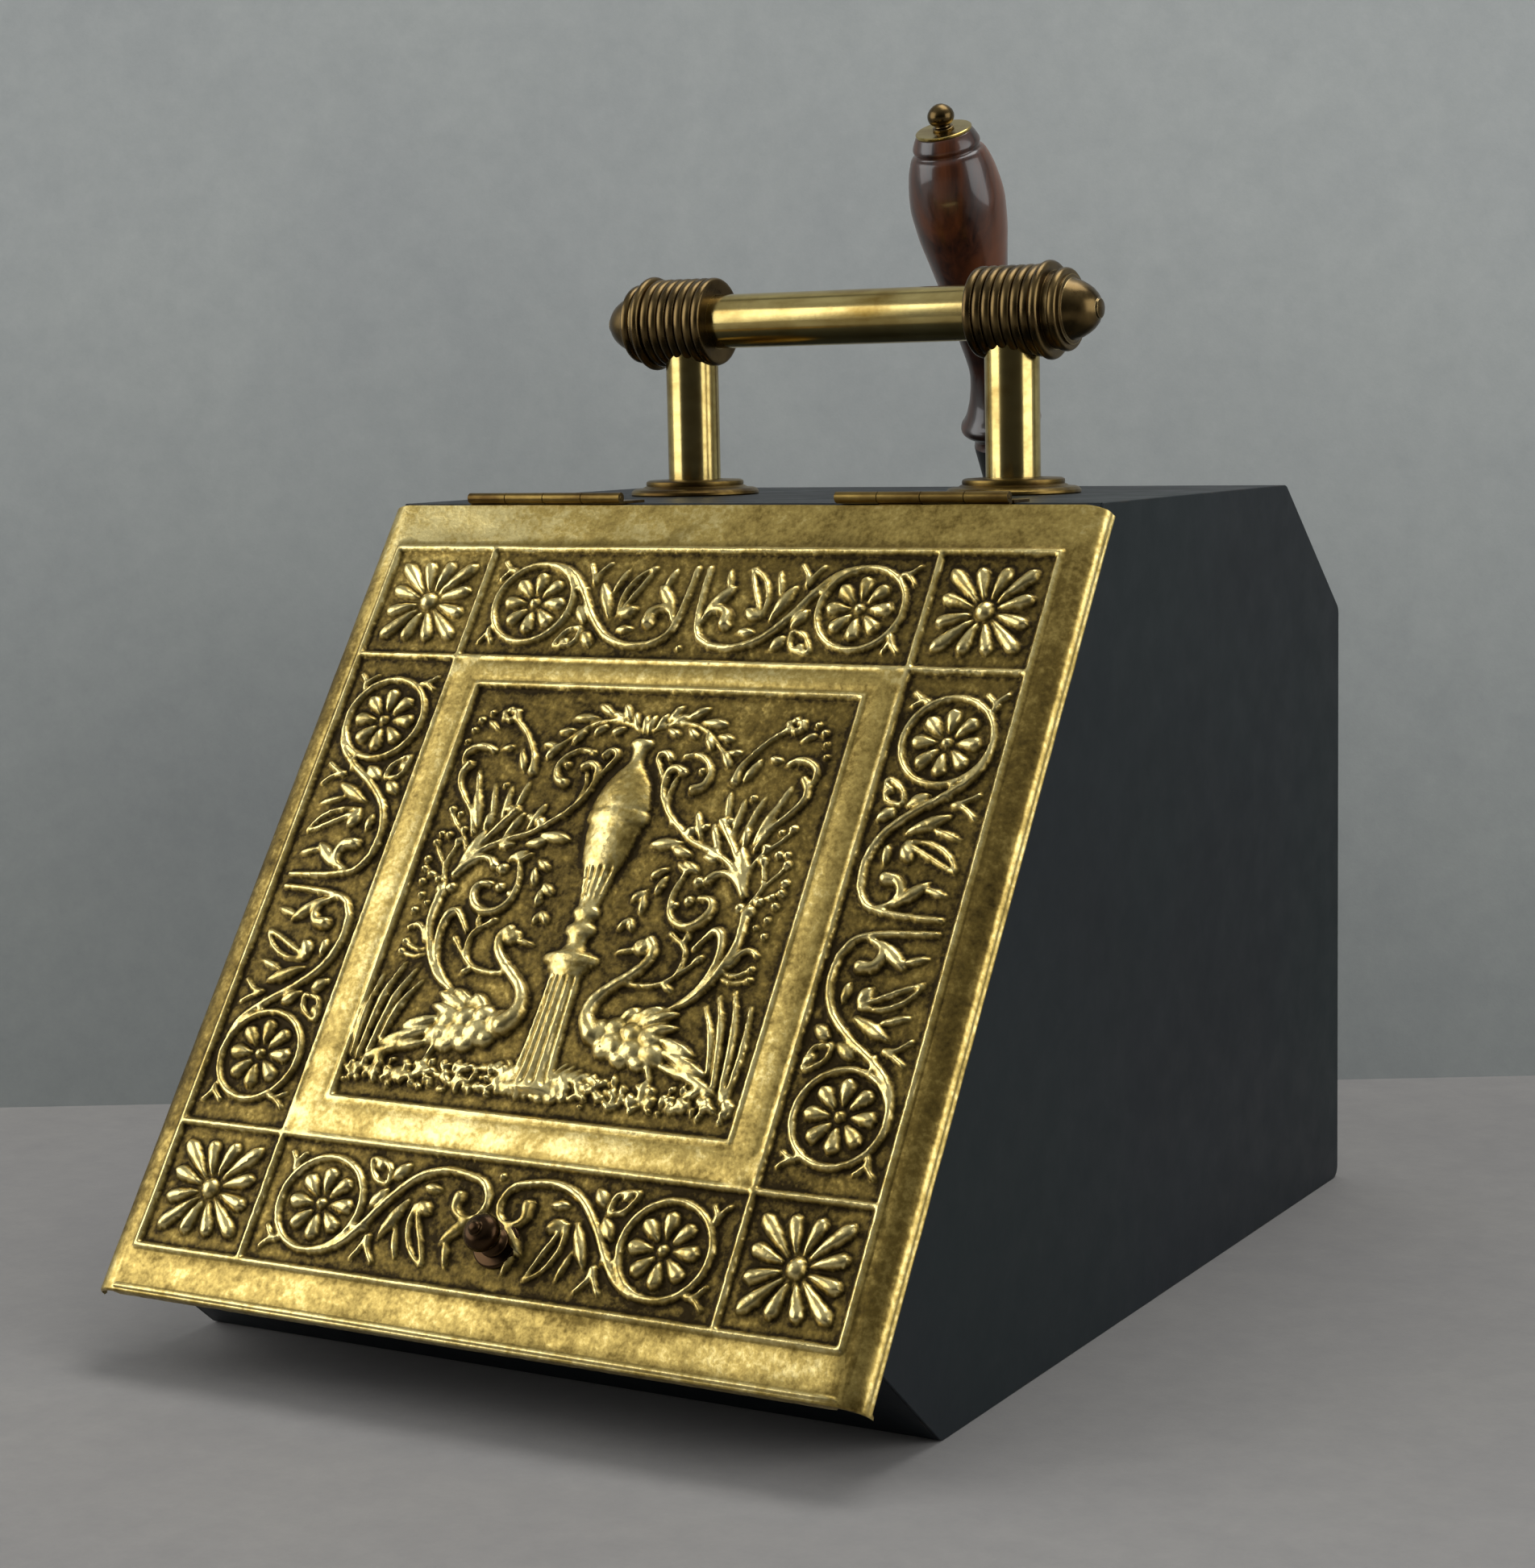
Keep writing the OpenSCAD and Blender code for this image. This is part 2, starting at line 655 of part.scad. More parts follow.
module leaf_rivet_hole(x) {
    translate([x, leaf_rivet_y, case_h - far / 10])
        cylinder(r = leaf_rivet_r + hole_clear, h = far / 5, $fn = 24);
}

// Children at the start of each knuckle whose number has this remainder
module each_knuckle(odd) {
    for (i = [odd : 2 : knuckles - 1])
        translate([hinge_in + i * knuckle_w + knuckle_gap / 2, 0, 0]) children();
}

module barrel() {
    translate([0, pin_y, pin_z]) rotate([0, 90, 0])
        cylinder(r = barrel_r, h = knuckle_w - knuckle_gap, $fn = 32);
}

module pin_bore() {
    translate([hinge_in - cut, pin_y, pin_z]) rotate([0, 90, 0])
        cylinder(r = pin_r + pin_clear, h = hinge_len + 2 * cut, $fn = 32);
}

module hinge_fixed() {
    color(brass_bright) difference() {
        union() {
            each_knuckle(0) barrel();
            each_knuckle(0) translate([0, pin_y, case_h])
                cube([knuckle_w - knuckle_gap, leaf_back + 1, leaf_t]);
            translate([hinge_in, pin_y + leaf_back, case_h])
                cube([hinge_len, leaf_d - leaf_back, leaf_t]);
        }
        pin_bore();
        for (x = leaf_rivet_xs) leaf_rivet_hole(x);
    }
}

// Place of the hinge axis in the lid's own measures
pin_v = along([pin_y, pin_z]);
pin_n = ([pin_y, pin_z] - [front_y, case_h]) * out;
strap_n = pin_n - (pin_r + barrel_r) / 2;   // the strap's top lies in the barrel's wall

module hinge_moving() {
    color(brass_bright) difference() {
        union() {
            each_knuckle(1) barrel();
            each_knuckle(1) on_lid() translate([0, -lid_edge_v - 1.5, -skin_t - back_t])
                cube([knuckle_w - knuckle_gap, lid_edge_v + 1.5 - pin_v, strap_n + skin_t + back_t]);
            on_lid() translate([hinge_in + knuckle_gap, -lid_edge_v - lid_leaf_d, -skin_t - back_t])
                cube([hinge_len - 2 * knuckle_gap, lid_leaf_d, back_t]);
        }
        pin_bore();
        on_lid() translate([0, -far / 2, -skin_t]) cube([far, far / 2 - lid_edge_v, skin_t + cut]);
    }
}

module hinge_pin() {
    color(brass_bright) translate([hinge_in, pin_y, pin_z]) rotate([0, 90, 0])
        cylinder(r = pin_r, h = hinge_len, $fn = 32);
}

module leaf_rivets() {
    color(brass_bright) for (x = leaf_rivet_xs)
        translate([x, leaf_rivet_y, case_h + leaf_t]) rivet(leaf_t + 2 * case_sheet, leaf_rivet_r);
}

// ---- lid ----

foot_v = lid_len - margin_foot;
side_x = lid_w / 2 - margin_side;
col_x = side_x - border_side;
row_v = margin_top + border_top;
low_v = foot_v - border_foot;
panel_x = col_x - band_side;
panel_v0 = row_v + band_top;
panel_v1 = low_v - band_foot;
hem_out = 0.4;                   // how far the hem stands out past the roll
flat_x = lid_w / 2 - roll_w - hem_out;
roll_t = skin_t;

// Rolled side edge in (x, n), from the flat skin out and down
module roll_2d() {
    steps = 8;
    polygon(concat(
        [for (i = [0 : steps]) let (g = 90 * i / steps)
            [flat_x + roll_w * sin(g), -roll_drop + roll_drop * cos(g)]],
        [[flat_x + roll_w, -roll_drop - 0.4], [lid_w / 2, -roll_drop - 0.6],
         [lid_w / 2, -roll_drop - 1.4], [flat_x + roll_w - roll_t, -roll_drop - 1.4]],
        [for (i = [steps : -1 : 0]) let (g = 90 * i / steps)
            [flat_x + (roll_w - roll_t) * sin(g), -roll_drop + (roll_drop - roll_t) * cos(g)]]));
}

module roll(side) {
    translate([0, -lid_edge_v, 0]) rotate([90, 0, 0]) linear_extrude(lid_len - lid_edge_v)
        mirror([side > 0 ? 0 : 1, 0]) roll_2d();
}

// Beaded line on the skin between two points (x, v)
module bead_line(a, b) {
    d = b - a;
    translate([a[0], -a[1], 0]) rotate([0, 0, atan2(-d[1], d[0])]) rotate([90, 0, 90])
        linear_extrude(norm(d)) intersection() {
            circle(r = bead_h, $fn = 16);
            translate([-bead_h, -skin_t / 2]) square([2 * bead_h, far]);
        }
}

module bead_frame(x, v0, v1) {
    bead_line([-x, v0], [x, v0]);
    bead_line([-x, v1], [x, v1]);
    bead_line([-x, v0], [-x, v1]);
    bead_line([x, v0], [x, v1]);
}

// Smooth raised band across width w, along +x from 0 to len
module band(w, len) {
    rotate([90, 0, 90]) linear_extrude(len) polygon(
        [for (i = [0 : 10]) let (g = 180 * i / 10) [w / 2 - w / 2 * cos(g), band_h * sin(g)]]);
}

module bands() {
    e = bead_h;
    w = band_side - 2 * e;
    translate([-col_x + e, -row_v - band_top + e, 0]) band(band_top - 2 * e, 2 * (col_x - e));
    translate([-col_x + e, -low_v + e, 0]) band(band_foot - 2 * e, 2 * (col_x - e));
    for (x = [-col_x + e + w, col_x - e])
        translate([x, -low_v + e, 0]) rotate([0, 0, 90]) band(w, low_v - row_v - 2 * e);
}

// Teardrop petal along +x from r0 to r1
module petal(r0, r1, w) {
    len = r1 - r0;
    linear_extrude(relief_h) polygon([for (i = [0 : 8]) let (g = 40 * i)
        [r0 + len / 2 - len / 2 * cos(g), w / 2 * sin(g) * (0.62 - 0.38 * cos(g))]]);
}

// Square corner rosette: long petals to the corners, two short ones between
module corner_rosette(w, h) {
    cylinder(r = 3, h = relief_h * 1.3, $fn = 24);
    for (sx = [-1, 1]) for (sy = [-1, 1]) {
        rotate([0, 0, atan2(sy * h, sx * w)]) petal(5, norm([w, h]) * 0.41, 4.6);
        rotate([0, 0, atan2(sy, sx * 3.6)]) petal(5, w * 0.37, 4.2);
        rotate([0, 0, atan2(sy * 3.6, sx)]) petal(5, h * 0.37, 4.2);
    }
}

// Ring medallion with an eight-petalled daisy
module medallion() {
    rotate_extrude($fn = 48) translate([ring_r, 0]) intersection() {
        circle(r = 1.1, $fn = 16);
        translate([-2, 0]) square([4, 2]);
    }
    cylinder(r = 2.4, h = relief_h * 1.3, $fn = 24);
    for (i = [0 : 7]) rotate([0, 0, 22.5 + 45 * i]) petal(3.4, ring_r * 0.72, 5.2);
}

// Points along an arc about c from angle g0 to g1
function arc(c, r, g0, g1, n) =
    [for (i = [0 : n]) let (g = g0 + (g1 - g0) * i / n) c + r * [cos(g), sin(g)]];
// Unit vector square to a line of points at its point i
function square_to(p, i) =
    let (d = p[min(i + 1, len(p) - 1)] - p[max(i - 1, 0)]) [-d[1], d[0]] / norm(d);

// Ribbon of width w along a line of points
module ribbon(p, w) {
    polygon(concat([for (i = [0 : len(p) - 1]) p[i] + square_to(p, i) * w / 2],
        [for (i = [len(p) - 1 : -1 : 0]) p[i] - square_to(p, i) * w / 2]));
}

// Pointed leaf from a to b, w wide
module leaf(a, b, w) {
    d = b - a;
    u = d / norm(d);
    polygon([for (i = [0 : 7]) let (g = 45 * i)
        (a + b) / 2 - d / 2 * cos(g) + [-u[1], u[0]] * w / 2 * sin(g)]);
}

// Half a border: its ring at the origin, the border's middle towards -x, the centre
// panel towards +y. The stem leaves the ring, swings over and ends in a curl.
stem_w = 2.4;
stem_rise = 9.8;                 // how much wider the stem's first arc is than the ring
module border_half() {
    medallion();
    linear_extrude(relief_h) {
        ribbon(concat(arc([-1.5, stem_rise], ring_r + stem_rise, -87, -142, 5),
            arc([-51, -0.4], 18.6, 25, 130, 8), arc([-59.5, 9], 7.1, 145, 350, 9)), stem_w);
        translate([-54, 10]) circle(r = 2, $fn = 16);
        for (tip = [[-47.5, -16], [-39, -15]]) leaf([-39, 3], tip, 4.6);
        for (y = [15, 5]) leaf([-28 + y / 3, y], [-23, y - 7], 4.2);
        leaf([-24.5, -8], [-21, -17], 2.4);
    }
}

// Half-width of the urn and its column at each height, as a fraction of the panel
urn_half = [[0, 9], [0.34, 8], [0.35, 11], [0.38, 11], [0.39, 5], [0.42, 5], [0.43, 6],
    [0.46, 4], [0.48, 4], [0.58, 8], [0.69, 10.5], [0.7, 12.5], [0.74, 12.5],
    [0.77, 10.5], [0.83, 6], [0.87, 2.6], [0.89, 5], [0.9, 0]];
module urn() {
    h = panel_v1 - panel_v0;
    linear_extrude(relief_h * 1.6) translate([0, -panel_v1 + bead_h + 12]) polygon(concat(
        [for (p = urn_half) [p[1], p[0] * (h - 16)]],
        [for (i = [len(urn_half) - 1 : -1 : 0])
            [-urn_half[i][1], urn_half[i][0] * (h - 16)]]));
}

// The centre panel's right half, drawn from the middle of its foot in a half 80 wide and
// 165 high, and scaled to the panel
drawn_x = 80;
drawn_h = 165;
art_scale = min(panel_x / drawn_x, (panel_v1 - panel_v0) / drawn_h);

module on_panel(h) {
    translate([0, -panel_v1, 0]) linear_extrude(h) scale(art_scale) children();
}

// A swan that swims towards the middle
module swan() {
    tilt = -10;
    polygon([for (g = [0 : 20 : 340])
        [28 + 17 * cos(g) * cos(tilt) - 7 * sin(g) * sin(tilt),
         31.5 + 17 * cos(g) * sin(tilt) + 7 * sin(g) * cos(tilt)]]);
    ribbon(concat(arc([21, 40.5], 9.6, 205, 128, 5), arc([23, 63], 5.4, -50, 75, 5)), 3.6);
    translate([24, 67]) circle(r = 3.3, $fn = 20);
    leaf([22, 65], [13, 64], 3);
    leaf([36, 33], [66, 15], 7);
}

// The scrolling tree behind the swan
module tree() {
    ribbon(arc([30, 70], 30, -61, 32, 8), 3);
    ribbon(concat([[56, 86]], arc([46, 88], 8, 0, 110, 5)), 2.6);
    ribbon(arc([38.5, 81.5], 7, 150, 420, 9), 2.6);
    ribbon([[56, 86], [52, 97], [49, 104]], 3);
    ribbon(concat([[53, 97], [38, 104]], arc([27, 126], 14.5, -95, -200, 6)), 2);
    ribbon(concat([[53, 98]], arc([58, 124], 12, -75, 30, 5)), 2.4);
    ribbon(arc([58, 146], 8, -20, 160, 6), 2);
    ribbon(concat([[58, 58]], arc([52, 66], 3, 0, 140, 4)), 2);
    for (t = [[60, 123, 55, 108], [29, 106, 13, 103], [26, 97, 19, 91], [21, 94, 17, 84], [68, 60, 60, 57]])
        leaf([t[0], t[1]], [t[2], t[3]], 3.6);
    for (x = [60, 65, 71]) leaf([x, 52], [x + 5, 16], 2.4);
    for (g = [20 : 26 : 150]) leaf([26, 135] + 4 * [cos(g), sin(g)], [26, 135] + 14 * [cos(g), sin(g)], 3);
}

// Grass along the panel's foot
module grass() {
    blade = 5;
    polygon(concat([[0, 4]],
        [for (i = [0 : 14]) each [[i * blade, 9], [i * blade + blade / 2, 13]]], [[75, 4]]));
}

medal_x = col_x - ring_off;
medal_v = (low_v - row_v) / 2 - ring_off;

module lid_skin() {
    mid_v = (row_v + low_v) / 2;
    color(brass) difference() {
        on_lid() union() {
            translate([-flat_x, -lid_len, -skin_t])
                cube([2 * flat_x, lid_len - lid_edge_v, skin_t]);
            roll(-1);
            roll(1);
            translate([-flat_x, -lid_len, -lip_drop]) cube([2 * flat_x, 1, lip_drop]);
            bead_frame(side_x, margin_top, foot_v);
            bead_frame(panel_x, panel_v0, panel_v1);
            for (v = [row_v, low_v]) bead_line([-side_x, v], [side_x, v]);
            for (x = [-col_x, col_x]) bead_line([x, margin_top], [x, foot_v]);
            bands();
            for (s = [0, 1]) mirror([s, 0, 0]) {
                translate([(side_x + col_x) / 2, -(margin_top + row_v) / 2, 0])
                    corner_rosette(border_side, border_top);
                translate([(side_x + col_x) / 2, -(foot_v + low_v) / 2, 0])
                    corner_rosette(border_side, border_foot);
                translate([medal_x, -(foot_v + low_v) / 2, 0]) border_half();
                translate([medal_x, -(margin_top + row_v) / 2, 0]) mirror([0, 1, 0]) border_half();
                for (t = [0, 1]) translate([(side_x + col_x) / 2, -mid_v, 0]) mirror([0, t, 0])
                    translate([0, medal_v, 0]) rotate([0, 0, 90]) border_half();
                on_panel(relief_h) {
                    tree();
                    grass();
                }
                on_panel(relief_h * 1.6) swan();
            }
            urn();
        }
        knob_hole();
        on_lid() translate([knob_x, -knob_v, 0])       // the ornament stops at the knob's rose
            cylinder(r = knob_rose_r + hole_clear, h = far / 10, $fn = 48);
    }
}

module knob_hole() {
    on_lid() translate([knob_x, -knob_v, -far / 10])
        cylinder(r = knob_stud_r + hole_clear, h = far / 5, $fn = 24);
}

module lid_back() {
    color(iron_black) difference() {
        on_lid() translate([-flat_x + 0.2, -lid_len + 1.4, -skin_t - back_t])
            cube([2 * flat_x - 0.4, lid_len - 1.4 - lid_edge_v, back_t]);
        for (s = [0, 1]) mirror([s, 0, 0]) on_lid()
            translate([hinge_in, -lid_edge_v - lid_leaf_d - 0.2, -skin_t - back_t - cut])
                cube([hinge_len, lid_leaf_d + far / 10, back_t + cut]);
        knob_hole();
    }
}

knob_rose_t = 1.3;
knob_nut_h = 3;

module at_knob(n) {
    on_lid() translate([knob_x, -knob_v, n]) children();
}

module lid_knob() {
    neck = knob_r * 0.5;
    tip = knob_r * 0.34;
    ball_h = knob_h - 2 * tip;
    color(bronze) at_knob(knob_rose_t) difference() {
        rotate_extrude($fn = 48) polygon(concat(
            [[0, 0], [knob_r * 0.8, 0], [knob_r * 0.8, 1.2], [neck, 3]],
            [for (g = [-60 : 15 : 75])
                [knob_r * cos(g), ball_h * 0.62 + ball_h * 0.38 * sin(g)]],
            [for (g = [-60 : 30 : 90]) [tip * cos(g), knob_h - tip + tip * sin(g)]]));
        translate([0, 0, -cut])
            cylinder(r = knob_stud_r + hole_clear, h = knob_h * 0.5 + cut, $fn = 24);
    }
}

module knob_rose() {
    color(bronze) at_knob(0) difference() {
        rotate_extrude($fn = 48) polygon([[0, 0], [knob_rose_r, 0], [knob_rose_r, 0.5],
            [knob_rose_r - 0.8, knob_rose_t], [0, knob_rose_t]]);
        translate([0, 0, -cut]) cylinder(r = knob_stud_r + hole_clear, h = 5, $fn = 24);
    }
}

knob_nut_n = -skin_t - back_t - knob_nut_h;

module knob_stud() {
    z0 = knob_nut_n - 1;
    color(iron_grey) at_knob(z0)
        cylinder(r = knob_stud_r, h = knob_rose_t + knob_h * 0.5 - 0.1 - z0, $fn = 24);
}

module knob_nut() {
    color(iron_grey) at_knob(knob_nut_n) difference() {
        cylinder(r = 2 * knob_stud_r, h = knob_nut_h, $fn = 6);
        translate([0, 0, -cut])
            cylinder(r = knob_stud_r + hole_clear, h = knob_nut_h + 2 * cut, $fn = 24);
    }
}

// ---- shovel ----

edge_y = back_y + scoop_stand;              // the scoop's open side hangs here
lip_z = shoe_z + bracket_t + seat_gap;
scoop_z = lip_z + scoop_len;                // outer face of the scoop's back wall
socket_y = edge_y + socket_off;

module on_handle() {
    translate([0, socket_y, scoop_z]) rotate([lean, 0, 0]) children();
}

socket_rivet_xs = [-foot_w * 0.36, foot_w * 0.36];
socket_rivet_y = socket_y - foot_d * 0.45;

module socket_rivet_holes() {
    for (x = socket_rivet_xs) translate([x, socket_rivet_y, scoop_z - far / 10])
        cylinder(r = rivet_r + hole_clear, h = far / 5, $fn = 24);
}

module scoop() {
    pan = [scoop_lip - scoop_d, -scoop_len];
    in = scoop_t / cos(atan2(pan[0], pan[1]));    // the pan's thickness, square to the edge
    color(iron_black) difference() {
        translate([0, edge_y, scoop_z]) across(-scoop_w / 2, scoop_w)
            polygon([[0, 0], [scoop_d, 0], [scoop_lip, -scoop_len],
                [scoop_lip + in, -scoop_len], [0, -scoop_len * 0.72]]);
        translate([0, edge_y, scoop_z]) across(-scoop_w / 2 + scoop_t, scoop_w - 2 * scoop_t)
            polygon([[-far, -scoop_t], [scoop_d + in, -scoop_t],
                [scoop_lip + in, -scoop_len], [scoop_lip + in + pan[0], -scoop_len + pan[1]],
                [-far, -far]]);
        socket_rivet_holes();
    }
}

socket_taper = (socket_top_r - socket_foot_r) / socket_len;
tang_s = socket_len - tang_len;             // foot of the grip's tang in the socket

module shovel_socket() {
    color(iron_black) difference() {
        union() {
            intersection() {
                on_handle() translate([0, 0, -2 * socket_foot_r])
                    cylinder(r1 = socket_foot_r * (1 - 2 * socket_taper), r2 = socket_top_r,
                        h = socket_len + 2 * socket_foot_r, $fn = 48);
                translate([-far / 2, 0, scoop_z]) cube(far);
            }
            translate([-foot_w / 2, socket_y - foot_d * 0.72, scoop_z])
                cube([foot_w, foot_d, foot_t]);
        }
        on_handle() translate([0, 0, tang_s]) cylinder(r = tang_r + hole_clear, h = far, $fn = 48);
        on_handle() translate([0, 0, rod_s0]) cylinder(r = rod_r + hole_clear, h = far, $fn = 32);
        socket_rivet_holes();
    }
}

tang_r = socket_foot_r + socket_taper * tang_s - socket_wall;
rod_s0 = tang_s - 0.4 * tang_len;

module socket_rivets() {
    color(iron_black) for (x = socket_rivet_xs)
        translate([x, socket_rivet_y, scoop_z + foot_t]) rivet(foot_t + scoop_t);
}

// Turned outline of the grip, as [radius, height above the socket]
bead_half = 4.6;
bead_s = 8.1;
neck_s = grip_len * 0.23;
belly_s = grip_len * 0.774;
function grip_profile() =
    let (rise = (grip_len - belly_s) / sqrt(1 - pow(grip_top_r / belly_r, 2)),
         root = grip_bead_r - bead_half)
    concat([[socket_top_r, 0], [root, bead_s - bead_half]],
        [for (i = [1 : 9]) let (g = 180 * i / 10)
            [root + bead_half * sin(g), bead_s - bead_half * cos(g)]],
        [for (i = [0 : 6]) let (u = i / 6, s0 = bead_s + bead_half)
            [neck_r + (root - neck_r) * (0.5 + 0.5 * cos(180 * u)), s0 + (neck_s - s0) * u]],
        [for (i = [1 : 12]) let (u = i / 12)
            [neck_r + (belly_r - neck_r) * (0.5 - 0.5 * cos(180 * u)),
             neck_s + (belly_s - neck_s) * u]],
        [for (i = [1 : 8]) let (s = (grip_len - belly_s) * i / 8)
            [belly_r * sqrt(1 - pow(s / rise, 2)), belly_s + s]]);

module shovel_grip() {
    color(mahogany) difference() {
        union() {
            on_handle() translate([0, 0, tang_s]) cylinder(r = tang_r,
                h = socket_len - tang_s + 1, $fn = 48);
            on_handle() translate([0, 0, socket_len]) rotate_extrude($fn = 48)
                polygon(concat([[0, 0]], grip_profile(), [[0, grip_len]]));
        }
        on_handle() translate([0, 0, rod_s0]) cylinder(r = rod_r + hole_clear, h = far, $fn = 32);
    }
}

grip_washer_t = 1.2;
finial_s = socket_len + grip_len + grip_washer_t;

module grip_washer() {
    color(brass_bright) on_handle() translate([0, 0, socket_len + grip_len]) difference() {
        cylinder(r = grip_top_r, h = grip_washer_t, $fn = 48);
        translate([0, 0, -cut])
            cylinder(r = rod_r + hole_clear, h = grip_washer_t + 2 * cut, $fn = 32);
    }
}

module shovel_finial() {
    color(bronze) on_handle() translate([0, 0, finial_s]) difference() {
        rotate_extrude($fn = 48) polygon(concat([[0, 0], [finial_r * 0.75, 0]],
            [for (g = [-55 : 14.5 : 90])
                [finial_r * cos(g), finial_r * (0.9 + sin(g))]]));
        translate([0, 0, -cut]) cylinder(r = rod_r + hole_clear, h = finial_r + cut, $fn = 32);
    }
}

module shovel_rod() {
    color(iron_grey) on_handle() translate([0, 0, rod_s0])
        cylinder(r = rod_r, h = finial_s + finial_r - 0.1 - rod_s0, $fn = 32);
}

// ---- shovel bracket on the back ----

shoe_x = scoop_w / 2 + shoe_gap;
slant = (scoop_d - scoop_lip) / scoop_len;
shoe_in = edge_y + scoop_lip + slant * shoe_h + shoe_gap;    // inner face of its outer wall
ear_w = 16;                      // width of the shoe's riveted ears
shoe_rivets = [for (s = [-1, 1]) [s * (shoe_x + ear_w / 2), shoe_h * 0.5]];
fork_low = 1;                    // the fork sits this far below the rear slope's foot
fork_z = case_h - slope_h - fork_t - fork_low;
fork_rivet_z = fork_z - fork_flange * 0.6;
fork_rivet_in = 7;               // from the fork's sides to its rivets
fork_rivet_xs = [-fork_w / 2 + fork_rivet_in, fork_w / 2 - fork_rivet_in];
fork_axis_y = socket_y - (fork_z + fork_t / 2 - scoop_z) * tan(lean);
fork_slot_r = socket_foot_r + socket_taper * (fork_z + fork_t - scoop_z) / cos(lean) + fork_gap;

module bracket_holes() {
    for (p = shoe_rivets) back_hole(p[0], shoe_z + p[1], rivet_r + hole_clear);
    for (x = fork_rivet_xs) back_hole(x, fork_rivet_z, rivet_r + hole_clear);
}

module shovel_shoe() {
    color(iron_black) difference() {
        union() {
            translate([-shoe_x - bracket_t, back_y, shoe_z])
                cube([2 * (shoe_x + bracket_t), shoe_in + bracket_t - back_y, shoe_h]);
            for (p = shoe_rivets) translate([p[0] - ear_w / 2, back_y, shoe_z])
                cube([ear_w, bracket_t, shoe_h]);
        }
        translate([-shoe_x, back_y - cut, shoe_z + bracket_t])
            cube([2 * shoe_x, shoe_in - back_y + cut, shoe_h]);
        bracket_holes();
    }
}

module shovel_fork() {
    reach = fork_axis_y + fork_slot_r * 0.7;
    color(iron_black) difference() {
        union() {
            translate([-fork_w / 2, back_y, fork_z]) cube([fork_w, reach - back_y, fork_t]);
            translate([-fork_w / 2, back_y, fork_z - fork_flange])
                cube([fork_w, fork_t * 0.8, fork_flange + cut]);
        }
        translate([0, fork_axis_y, fork_z - cut]) {
            cylinder(r = fork_slot_r, h = fork_t + 2 * cut, $fn = 48);
            translate([-fork_slot_r, 0, 0]) cube([2 * fork_slot_r, far, fork_t + 2 * cut]);
        }
        bracket_holes();
    }
}

module bracket_rivets() {
    color(iron_black) {
        for (p = shoe_rivets)
            back_rivet(p[0], shoe_z + p[1], bracket_t + case_sheet, back_y + bracket_t);
        for (x = fork_rivet_xs)
            back_rivet(x, fork_rivet_z, fork_t * 0.8 + case_sheet, back_y + fork_t * 0.8);
    }
}

side_panel(-1);  // side_left
side_panel(1);  // side_right
back_sheet();
base_sheet();
seam_rivets();
mouth_frame();
liner();
liner_grip();
liner_rivets();
shovel_shoe();
shovel_fork();
bracket_rivets();
stiffener();
rose(-1);  // rose_left
rose(1);  // rose_right
post(-1);  // post_left
post(1);  // post_right
collar(-1);  // collar_left
collar(1);  // collar_right
handle_bar();
tie_rod();
cap(-1);  // cap_left
cap(1);  // cap_right
post_studs();
stud_washers();
stud_nuts();
mirror([1, 0, 0]) hinge_fixed();  // hinge_fixed_left
hinge_fixed();  // hinge_fixed_right
mirror([1, 0, 0]) hinge_pin();  // hinge_pin_left
hinge_pin();  // hinge_pin_right
leaf_rivets();
mirror([1, 0, 0]) hinge_moving();  // hinge_moving_left
hinge_moving();  // hinge_moving_right
lid_skin();
lid_back();
lid_knob();
knob_rose();
knob_stud();
knob_nut();
scoop();
shovel_socket();
socket_rivets();
shovel_grip();
grip_washer();
shovel_finial();
shovel_rod();
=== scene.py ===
import math

import bmesh
import bpy
import numpy as np
from mathutils import Matrix, Vector


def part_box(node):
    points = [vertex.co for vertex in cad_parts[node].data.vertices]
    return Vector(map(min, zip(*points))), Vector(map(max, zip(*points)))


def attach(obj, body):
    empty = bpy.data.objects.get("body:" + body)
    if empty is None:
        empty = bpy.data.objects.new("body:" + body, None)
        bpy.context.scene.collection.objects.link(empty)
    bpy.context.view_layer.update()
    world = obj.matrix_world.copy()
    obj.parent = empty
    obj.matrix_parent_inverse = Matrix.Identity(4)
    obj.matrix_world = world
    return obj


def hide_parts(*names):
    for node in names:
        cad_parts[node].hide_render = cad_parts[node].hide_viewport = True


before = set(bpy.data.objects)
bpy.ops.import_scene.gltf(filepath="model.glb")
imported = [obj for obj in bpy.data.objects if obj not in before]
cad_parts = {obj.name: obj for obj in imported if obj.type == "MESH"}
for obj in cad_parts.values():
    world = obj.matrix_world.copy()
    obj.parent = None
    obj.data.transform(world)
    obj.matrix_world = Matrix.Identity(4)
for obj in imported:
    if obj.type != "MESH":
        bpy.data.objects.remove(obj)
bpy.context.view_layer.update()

# Coal scuttle: painted iron case, pressed brass lid, brass handle, shovel at the back.
# Lengths below are in millimetres and become metres where a mesh is made.
mm = 0.001
chance = np.random.default_rng(1887)


def say(text):
    print("scuttle:", text)


def srgb(r, g, b):
    # a colour picked on screen, 0 to 255, as the linear colour a shader wants
    scale = [c / 255 for c in (r, g, b)]
    return tuple(c / 12.92 if c < 0.04045 else ((c + 0.055) / 1.055) ** 2.4 for c in scale) + (1.0,)


def addNode(tree, kind, inputs=None, **settings):
    # a shader node; an input is a number, a colour or another node's socket
    node = tree.nodes.new(kind)
    for key, value in settings.items():
        setattr(node, key, value)
    for key, value in (inputs or {}).items():
        if isinstance(value, bpy.types.NodeSocket):
            tree.links.new(value, node.inputs[key])
        else:
            node.inputs[key].default_value = value
    return node


def newMaterial(name):
    mat = bpy.data.materials.new(name)
    mat.use_nodes = True
    return mat, mat.node_tree, mat.node_tree.nodes["Principled BSDF"]


